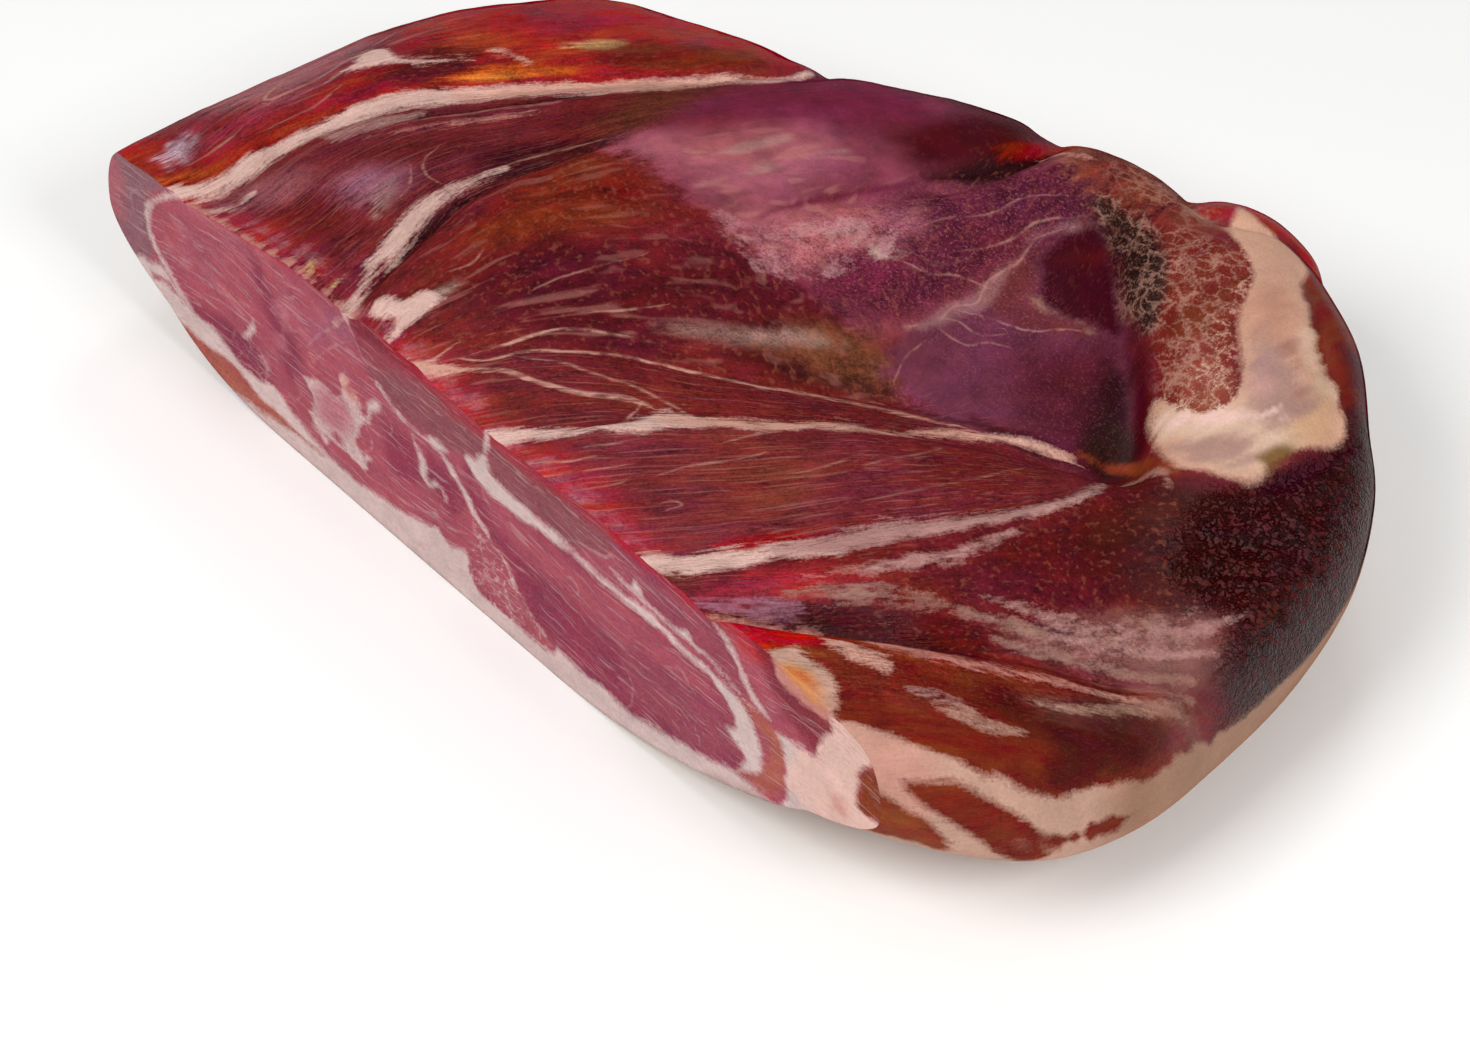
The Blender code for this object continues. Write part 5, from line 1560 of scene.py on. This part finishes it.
# Outer muscle that dried in the curing room: coarse fibres, satin with grease
OUTER_MEAT = MeatFinish(
    name="cured_outer_meat", thread=Tone.WARM_CREAM, crack=Tone.BLACK_RED, marbling=Tone.PINK_FAT,
    fleck=Tone.GOLDEN_GRAIN, lace=Tone.LACE_TAN, pale_grit=Tone.CUT_PINK, dark_grit=Tone.DEEP_PLUM,
    fibre_width=0.9, fibre_length=9.0, broad_swing=0.16, fibre_swing=0.42, speck_swing=0.34,
    cloud_swing=0.24, hue_swing=0.012, saturation=1.06, brightness=0.95, fleck_share=0.36,
    marbling_share=0.5, lace_cell=3.5, lace_line=0.42, fat_edge_wander=1.0, roughness=0.42,
    fat_roughness=0.38, fibre_height=0.9, wrinkle_height=1.3, thread_share=0.8)

# Muscle opened by the knife: moist, smooth and finely marbled
SLICED_MEAT = MeatFinish(
    name="sliced_meat", thread=Tone.CUT_FAT, crack=Tone.MAROON, marbling=Tone.CUT_FAT, fleck=Tone.CUT_PINK,
    lace=Tone.CUT_FAT, pale_grit=Tone.CUT_PINK, dark_grit=Tone.MAROON, fibre_width=0.8, fibre_length=5.0,
    broad_swing=0.08, fibre_swing=0.09, speck_swing=0.18, cloud_swing=0.08, hue_swing=0.006,
    saturation=1.12, brightness=0.86, fleck_share=0.25, marbling_share=0.45, lace_cell=3.0, lace_line=0.2,
    fat_edge_wander=0.4, roughness=0.42, fat_roughness=0.4, fibre_height=0.15, wrinkle_height=0.0,
    thread_share=0.38)


class Side(Enum):
    """The ham's three sides, by the number of their material."""

    TOP = 0
    CUT = 1
    UNDERSIDE = 2


@dataclass
class Sheet:
    """One side of the ham as a net of points, with what is painted on it."""

    side: Side
    points: Values
    canvas: Canvas
    tints: tuple[Values, Values]
    grain: Values

    def cells(self) -> list[list[int]]:
        """List the corners of each cell, as numbers of the net's points."""
        across, back = self.points.shape[0] - 1, self.points.shape[1] - 1
        number = np.arange((across + 1) * (back + 1)).reshape(across + 1, back + 1)
        if self.side is not Side.UNDERSIDE:
            corners = [number[:-1, :-1], number[1:, :-1], number[1:, 1:], number[:-1, 1:]]
            return np.stack([c.ravel() for c in corners], -1).tolist()
        found = []
        for i in range(0, across, 2):
            for j in range(0, back, 2):
                ring = [(i, j), (i + 1, j), (i + 2, j), (i + 2, j + 1), (i + 2, j + 2), (i + 1, j + 2),
                        (i, j + 2), (i, j + 1)]
                kept = [True, j == 0, True, i + 2 == across, True, j + 2 == back, True, i == 0]
                found.append([int(number[at]) for at, keep in zip(ring, kept) if keep][::-1])
        return found

    def atlas(self) -> Values:
        """Give each point its place on the flat colour map, one chart a side."""
        low, high = {Side.TOP: (0.42, 0.99), Side.CUT: (0.22, 0.40), Side.UNDERSIDE: (0.01, 0.20)}[self.side]
        across, back = self.points.shape[:2]
        u, v = np.meshgrid(np.linspace(0.01, 0.99, across), np.linspace(low, high, back), indexing="ij")
        return np.stack([u, v], -1)


@dataclass
class Ham:
    """The boneless ham: one closed body with a painted top, knife cut and underside."""

    form: HamForm
    fibres: Fibres
    top_side: Painting = TOP_SIDE
    cut_side: Painting = CUT_SIDE
    rim_side: Painting = RIM_SIDE

    # Relief in millimetres: the fat's swell, the lumps, the ridges and the wrinkles
    fat_swell: float = 0.45
    lump_size: float = 16.0
    lump_height: float = 0.5
    ridge_size: float = 4.0
    ridge_height: float = 0.28
    wrinkle_size: float = 3.0
    wrinkle_height: float = 0.55
    lace_height: float = 0.35
    rim_fade: float = 8.0
    rim_reach: float = 20.0
    streak_spread: float = 2.5
    cut_waviness: float = 0.5

    def top_sheet(self, x: Values, y: Values, top: Values, distance: Values) -> Sheet:
        """Paint the top and raise its relief.

        Args:
            x: The net's places along the cut.
            y: The net's places back from the cut.
            top: The form's heights there.
            distance: How far each place is from the widest line.

        Returns:
            The top's sheet.
        """
        across, along = self.fibres.coordinates(x, y)
        wander = rough(across / 2.6, along / 16, 1, 11, 3)
        canvas = Canvas(x, y, wander, Tone.BRICK)
        shapes = self.top_side.shapes
        for shape in shapes:
            if shape.layer is not Layer.TINT:
                canvas.paint(shape)
        for drawn in self.top_side.threads:
            canvas.draw(drawn)
        amount = {layer: values.reshape(x.shape) for layer, values in canvas.amount.items()}
        calm = 1 - 0.85 * amount[Layer.SMOOTH]
        relief = self.fat_swell * ease(-0.6, 1.8, amount[Layer.FAT])
        relief += self.lump_height * rough(x, y, self.lump_size, 21)
        relief += self.ridge_height * calm * rough(across, along / 7, self.ridge_size, 31, 2)
        relief += self.wrinkle_height * amount[Layer.LEATHER] * rough(x, y * 0.7, self.wrinkle_size, 41, 2)
        relief += self.lace_height * amount[Layer.LACE] * rough(x, y, 2.4, 51, 1)
        relief -= amount[Layer.GROOVE]
        height = top + relief * ease(0, self.rim_fade, distance)

        # Two tints, painted a little apart along the fibres, that the material mixes in streaks
        step = self.streak_spread * (1 - amount[Layer.SMOOTH]) * (1 - amount[Layer.LACE])
        way_x, way_y = self.fibres.direction(x, y)
        tints = []
        for sign in (-1, 1):
            shifted = canvas.seen_as(x + sign * step * way_x, y + sign * step * way_y)
            shifted.tint = canvas.tint.copy()
            for shape in shapes:
                if shape.layer is Layer.TINT:
                    shifted.paint(shape)
            self.paint_rim(shifted, x, y, height, distance)
            tints.append(shifted.tint)
        grain = np.stack([across, along, height], -1)
        return Sheet(Side.TOP, np.stack([x, y, height], -1), canvas, (tints[0], tints[1]), grain)

    def paint_rim(self, canvas: Canvas, x: Values, y: Values, height: Values, distance: Values) -> None:
        """Paint the steep side near the widest line.

        Args:
            canvas: The painting of the top or the underside.
            x: Places along the cut.
            y: Places back from the cut.
            height: Their heights.
            distance: How far they are from the widest line.
        """
        way = nearest(x, y, self.form.rim_line())[1]
        rim = canvas.seen_as(way, np.where(distance < self.rim_reach, height, ABOVE_ALL))
        for shape in self.rim_side.shapes:
            rim.paint(shape)
        for drawn in self.rim_side.threads:
            rim.draw(drawn)

    def underside_sheet(self, x: Values, y: Values, low: Values, distance: Values) -> Sheet:
        """Make the underside, which is trimmed fat with some browned meat.

        Args:
            x: The net's places along the cut.
            y: The net's places back from the cut.
            low: The form's heights there.
            distance: How far each place is from the widest line.

        Returns:
            The underside's sheet.
        """
        wander = rough(x, y, 5, 13, 3)
        canvas = Canvas(x, y, wander, Tone.CUT_BROWN)
        canvas.amount[Layer.FAT][:] = 3.2 + 7 * rough(canvas.a, canvas.b, 46, 61) + 1.5 * canvas.wander
        share = ease(0.2, 1.2, rough(canvas.a, canvas.b, 30, 62))[:, None] * 0.5
        base = np.array(linear(Tone.IVORY.value))
        canvas.fat_tint[:] = base + share * (np.array(linear(Tone.YELLOW_FAT.value)) - base)
        self.paint_rim(canvas, x, y, low, distance)
        points = np.stack([x, y, low], -1)
        return Sheet(Side.UNDERSIDE, points, canvas, (canvas.tint, canvas.tint), points)

    def cut_sheet(self, x: Values, low: Values, top: Values) -> Sheet:
        """Make the knife cut between the underside's and the top's front rows.

        Args:
            x: The front row's places along the cut.
            low: The underside's heights there.
            top: The top's heights there.

        Returns:
            The cut's sheet.
        """
        rise = np.linspace(0, 1, self.form.cut_steps + 1)
        across = np.repeat(x[:, None], rise.size, axis=1)
        height = low[:, None] + (top - low)[:, None] * rise
        canvas = Canvas(across, height, rough(across * 0.6, height, 4, 12, 3), Tone.CUT_ROSE)
        for shape in self.cut_side.shapes:
            canvas.paint(shape)
        for drawn in self.cut_side.threads:
            canvas.draw(drawn)
        amount = canvas.amount[Layer.FAT].reshape(across.shape)
        edge = ease(0, 0.08, rise)[None] * ease(1, 0.92, rise)[None]
        edge = edge * ease(-4, 4, across) * ease(294, 286, across)
        sunk = self.cut_waviness * (1 + rough(across, height, 18, 71)) + 0.25 * rough(across, height, 4, 72)
        sunk = np.maximum(sunk - 0.2 * ease(-0.5, 1, amount), 0) * edge
        bend = 5 * rough(across, height, 40, 73, 1)
        grain = np.stack([height + bend, across, sunk], -1)
        points = np.stack([across, sunk, height], -1)
        return Sheet(Side.CUT, points, canvas, (canvas.tint, canvas.tint), grain)

    def sheets(self) -> list[Sheet]:
        """Make the three sides."""
        x, y = self.form.plan_net()
        top, low, distance = self.form.surfaces(x, y)
        low = self.form.even_out(low)
        crown = self.top_sheet(x, y, top, distance)
        base = self.underside_sheet(x, y, low, distance)
        cut = self.cut_sheet(x[:, 0], low[:, 0], crown.points[:, 0, 2])
        return [crown, cut, base]

    def placed(self, points: Values) -> Values:
        """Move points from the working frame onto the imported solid, and keep them within its box.

        Args:
            points: Places in millimetres, one a row.

        Returns:
            Places in metres in the part's frame.
        """
        low_corner, high_corner = (np.array(corner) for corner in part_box(NODE))
        own_middle = (points.min(axis=0) + points.max(axis=0)) / 2 * METRES_PER_MM
        shift = (low_corner + high_corner) / 2 - own_middle
        shift[2] = low_corner[2]
        return np.clip(points * METRES_PER_MM + shift, low_corner, high_corner)

    def build(self) -> bpy.types.Object:
        """Sew the sides to one closed mesh that carries the painting.

        Returns:
            The ham's object.
        """
        sheets = self.sheets()
        points = np.concatenate([sheet.points.reshape(-1, 3) for sheet in sheets])
        _, first, same = np.unique(np.round(points / SEWN_WITHIN).astype(np.int64), axis=0,
                                   return_index=True, return_inverse=True)
        same = same.ravel()
        faces: list[list[int]] = []
        corners: list[int] = []
        sides: list[int] = []
        start = 0
        for sheet in sheets:
            for cell in sheet.cells():
                sewn: list[int] = []
                kept: list[int] = []
                for corner in cell:
                    vertex = int(same[corner + start])
                    if vertex not in sewn:
                        sewn.append(vertex)
                        kept.append(corner + start)
                if len(sewn) > 2:
                    faces.append(sewn)
                    corners.extend(kept)
                    sides.append(sheet.side.value)
            start += sheet.points.shape[0] * sheet.points.shape[1]
        used = np.unique(np.concatenate([np.array(face) for face in faces]))
        renumber = np.full(first.size, -1)
        renumber[used] = np.arange(used.size)
        mesh = bpy.data.meshes.new(PIECE)
        places = self.placed(points[first[used]])
        mesh.from_pydata(places.tolist(), [], [[int(renumber[v]) for v in face] for face in faces])
        self.dress(mesh, sheets, np.array(corners), np.array(sides))
        bm = bmesh.new()
        bm.from_mesh(mesh)
        bmesh.ops.recalc_face_normals(bm, faces=bm.faces)
        open_edges = sum(not edge.is_manifold for edge in bm.edges)
        log.info("%s: %d faces, %d open edges", PIECE, len(bm.faces), open_edges)
        bm.to_mesh(mesh)
        bm.free()
        mesh.shade_smooth()
        ham = bpy.data.objects.new(PIECE, mesh)
        bpy.context.scene.collection.objects.link(ham)
        return ham

    def dress(self, mesh: bpy.types.Mesh, sheets: list[Sheet], corners: NDArray[np.int64],
              sides: NDArray[np.int64]) -> None:
        """Write the painting and the materials to the mesh.

        Args:
            mesh: The sewn mesh.
            sheets: The sides that it was sewn from.
            corners: For each face corner, the number of its point on the sheets.
            sides: For each face, the number of its side.
        """
        def ones(canvas: Canvas) -> Values:
            """Give a column of ones as long as the canvas."""
            return np.ones((canvas.a.size, 1))

        canvases = [sheet.canvas for sheet in sheets]
        colours = {
            "tint_a": [np.hstack([sheet.tints[0], ones(sheet.canvas)]) for sheet in sheets],
            "tint_b": [np.hstack([sheet.tints[1], ones(sheet.canvas)]) for sheet in sheets],
            "fat_tint": [np.hstack([c.fat_tint, ones(c)]) for c in canvases],
        }
        vectors = {
            "amounts": [np.stack([np.clip(c.amount[Layer.FAT], -KEPT_REACH, KEPT_REACH),
                                  c.amount[Layer.MARBLING], c.amount[Layer.LACE]], -1) for c in canvases],
            "wear": [np.stack([c.amount[Layer.GLOSS], c.amount[Layer.LEATHER], c.amount[Layer.SMOOTH]], -1)
                     for c in canvases],
            "grain": [sheet.grain.reshape(-1, 3) for sheet in sheets],
        }
        for channel in range(CHANNELS):
            vectors[f"thread_{channel}"] = [np.clip(c.threads[channel], -KEPT_REACH, KEPT_REACH)
                                            for c in canvases]
        plain = {"grit": [c.amount[Layer.GRIT] for c in canvases]}
        for kind, field_name, group in (("FLOAT_COLOR", "color", colours),
                                        ("FLOAT_VECTOR", "vector", vectors),
                                        ("FLOAT", "value", plain)):
            for name, parts in group.items():
                attribute = mesh.attributes.new(name, kind, "CORNER")
                values = np.concatenate(parts)[corners].astype(np.float32)
                attribute.data.foreach_set(field_name, values.ravel())
        atlas = np.concatenate([sheet.atlas().reshape(-1, 2) for sheet in sheets])[corners]
        mesh.uv_layers.new(name="OFBake").data.foreach_set("uv", atlas.astype(np.float32).ravel())
        outer = MeatShader(OUTER_MEAT).build()
        for material in (outer, MeatShader(SLICED_MEAT).build(), outer):
            mesh.materials.append(material)
        mesh.polygons.foreach_set("material_index", sides.astype(np.int32))


@dataclass
class Studio:
    """A pale floor, soft light, and the camera at the photograph's viewing angle. In metres."""

    azimuth: float = 49.0
    elevation: float = 44.5
    lens_mm: float = 100.0
    sensor_mm: float = 36.0
    aim: tuple[float, float, float] = (0.0508, -0.0726, 0.0498)
    distance: float = 0.9596
    floor_size: float = 8.0
    floor_colour: str = "#FBFBFA"
    sky_colour: str = "#FFFFFF"
    horizon_strength: float = 0.12
    zenith_strength: float = 0.62

    def add_camera(self) -> None:
        """Stand the camera where the photograph was taken from."""
        azimuth, elevation = np.radians(self.azimuth), np.radians(self.elevation)
        back = Vector((np.sin(azimuth) * np.cos(elevation), -np.cos(azimuth) * np.cos(elevation),
                       np.sin(elevation)))
        right = Vector((np.cos(azimuth), np.sin(azimuth), 0.0))
        up = back.cross(right)
        data = bpy.data.cameras.new("photo_camera")
        data.lens = self.lens_mm
        data.sensor_width = self.sensor_mm
        camera = bpy.data.objects.new("photo_camera", data)
        turn = Matrix((right, up, back)).transposed().to_4x4()
        camera.matrix_world = Matrix.Translation(Vector(self.aim) + back * self.distance) @ turn
        bpy.context.scene.collection.objects.link(camera)
        bpy.context.scene.camera = camera

    def add_light(self, name: str, place: tuple[float, float, float], size: float, watts: float,
                  colour: str) -> None:
        """Hang one soft square light that faces the ham.

        Args:
            name: The light's name.
            place: Where it hangs.
            size: Its side.
            watts: Its power.
            colour: Its colour as #RRGGBB.
        """
        data = bpy.data.lights.new(name, "AREA")
        data.shape = "SQUARE"
        data.size = size
        data.energy = watts
        data.color = linear(colour)
        lamp = bpy.data.objects.new(name, data)
        lamp.location = place
        lamp.rotation_euler = (-Vector(place)).to_track_quat("-Z", "Y").to_euler()
        bpy.context.scene.collection.objects.link(lamp)

    def add_floor(self) -> None:
        """Lay the pale floor."""
        bm = bmesh.new()
        bmesh.ops.create_grid(bm, x_segments=1, y_segments=1, size=self.floor_size / 2)
        mesh = bpy.data.meshes.new("floor")
        bm.to_mesh(mesh)
        bm.free()
        floor = bpy.data.objects.new("floor", mesh)
        bpy.context.scene.collection.objects.link(floor)
        paint = bpy.data.materials.new("matt_pale_paint")
        paint.use_nodes = True
        surface = paint.node_tree.nodes["Principled BSDF"]
        surface.inputs["Base Color"].default_value = (*linear(self.floor_colour), 1.0)
        surface.inputs["Roughness"].default_value = 0.85
        mesh.materials.append(paint)

    def build(self) -> None:
        """Set up the whole studio."""
        self.add_camera()
        self.add_floor()
        self.add_light("softbox_front", (-0.05, -1.0, 1.15), 0.7, 12.0, "#FFFFFF")
        self.add_light("softbox_right", (1.0, -0.1, 0.95), 0.4, 6.0, "#FFFFFF")
        self.add_light("strip_behind", (-0.55, 0.75, 1.25), 0.3, 1.6, "#FFFFFF")
        world = bpy.data.worlds.new("studio")
        world.use_nodes = True
        tree = world.node_tree
        way = add_node(tree, "TexCoord").node.outputs["Generated"]
        rise = add_node(tree, "SeparateXYZ", {0: way}).node.outputs["Z"]
        glow = add_node(tree, "MapRange", {"Value": rise, "From Min": 0.1, "From Max": 1.0,
                                           "To Min": self.horizon_strength, "To Max": self.zenith_strength})
        sky = tree.nodes["Background"]
        sky.inputs["Color"].default_value = (*linear(self.sky_colour), 1.0)
        tree.links.new(glow, sky.inputs["Strength"])
        bpy.context.scene.world = world
        bpy.context.scene.view_settings.view_transform = "Standard"


def main() -> None:
    """Build the ham and the studio, and log what was built."""
    logging.basicConfig(level=logging.INFO, format="%(name)s: %(message)s")
    ham = Ham(HamForm(), Fibres()).build()
    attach(ham, BODY)
    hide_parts(NODE)
    Studio().build()
    log.info("studio: camera, floor and three lights")


if __name__ == "__main__":
    main()
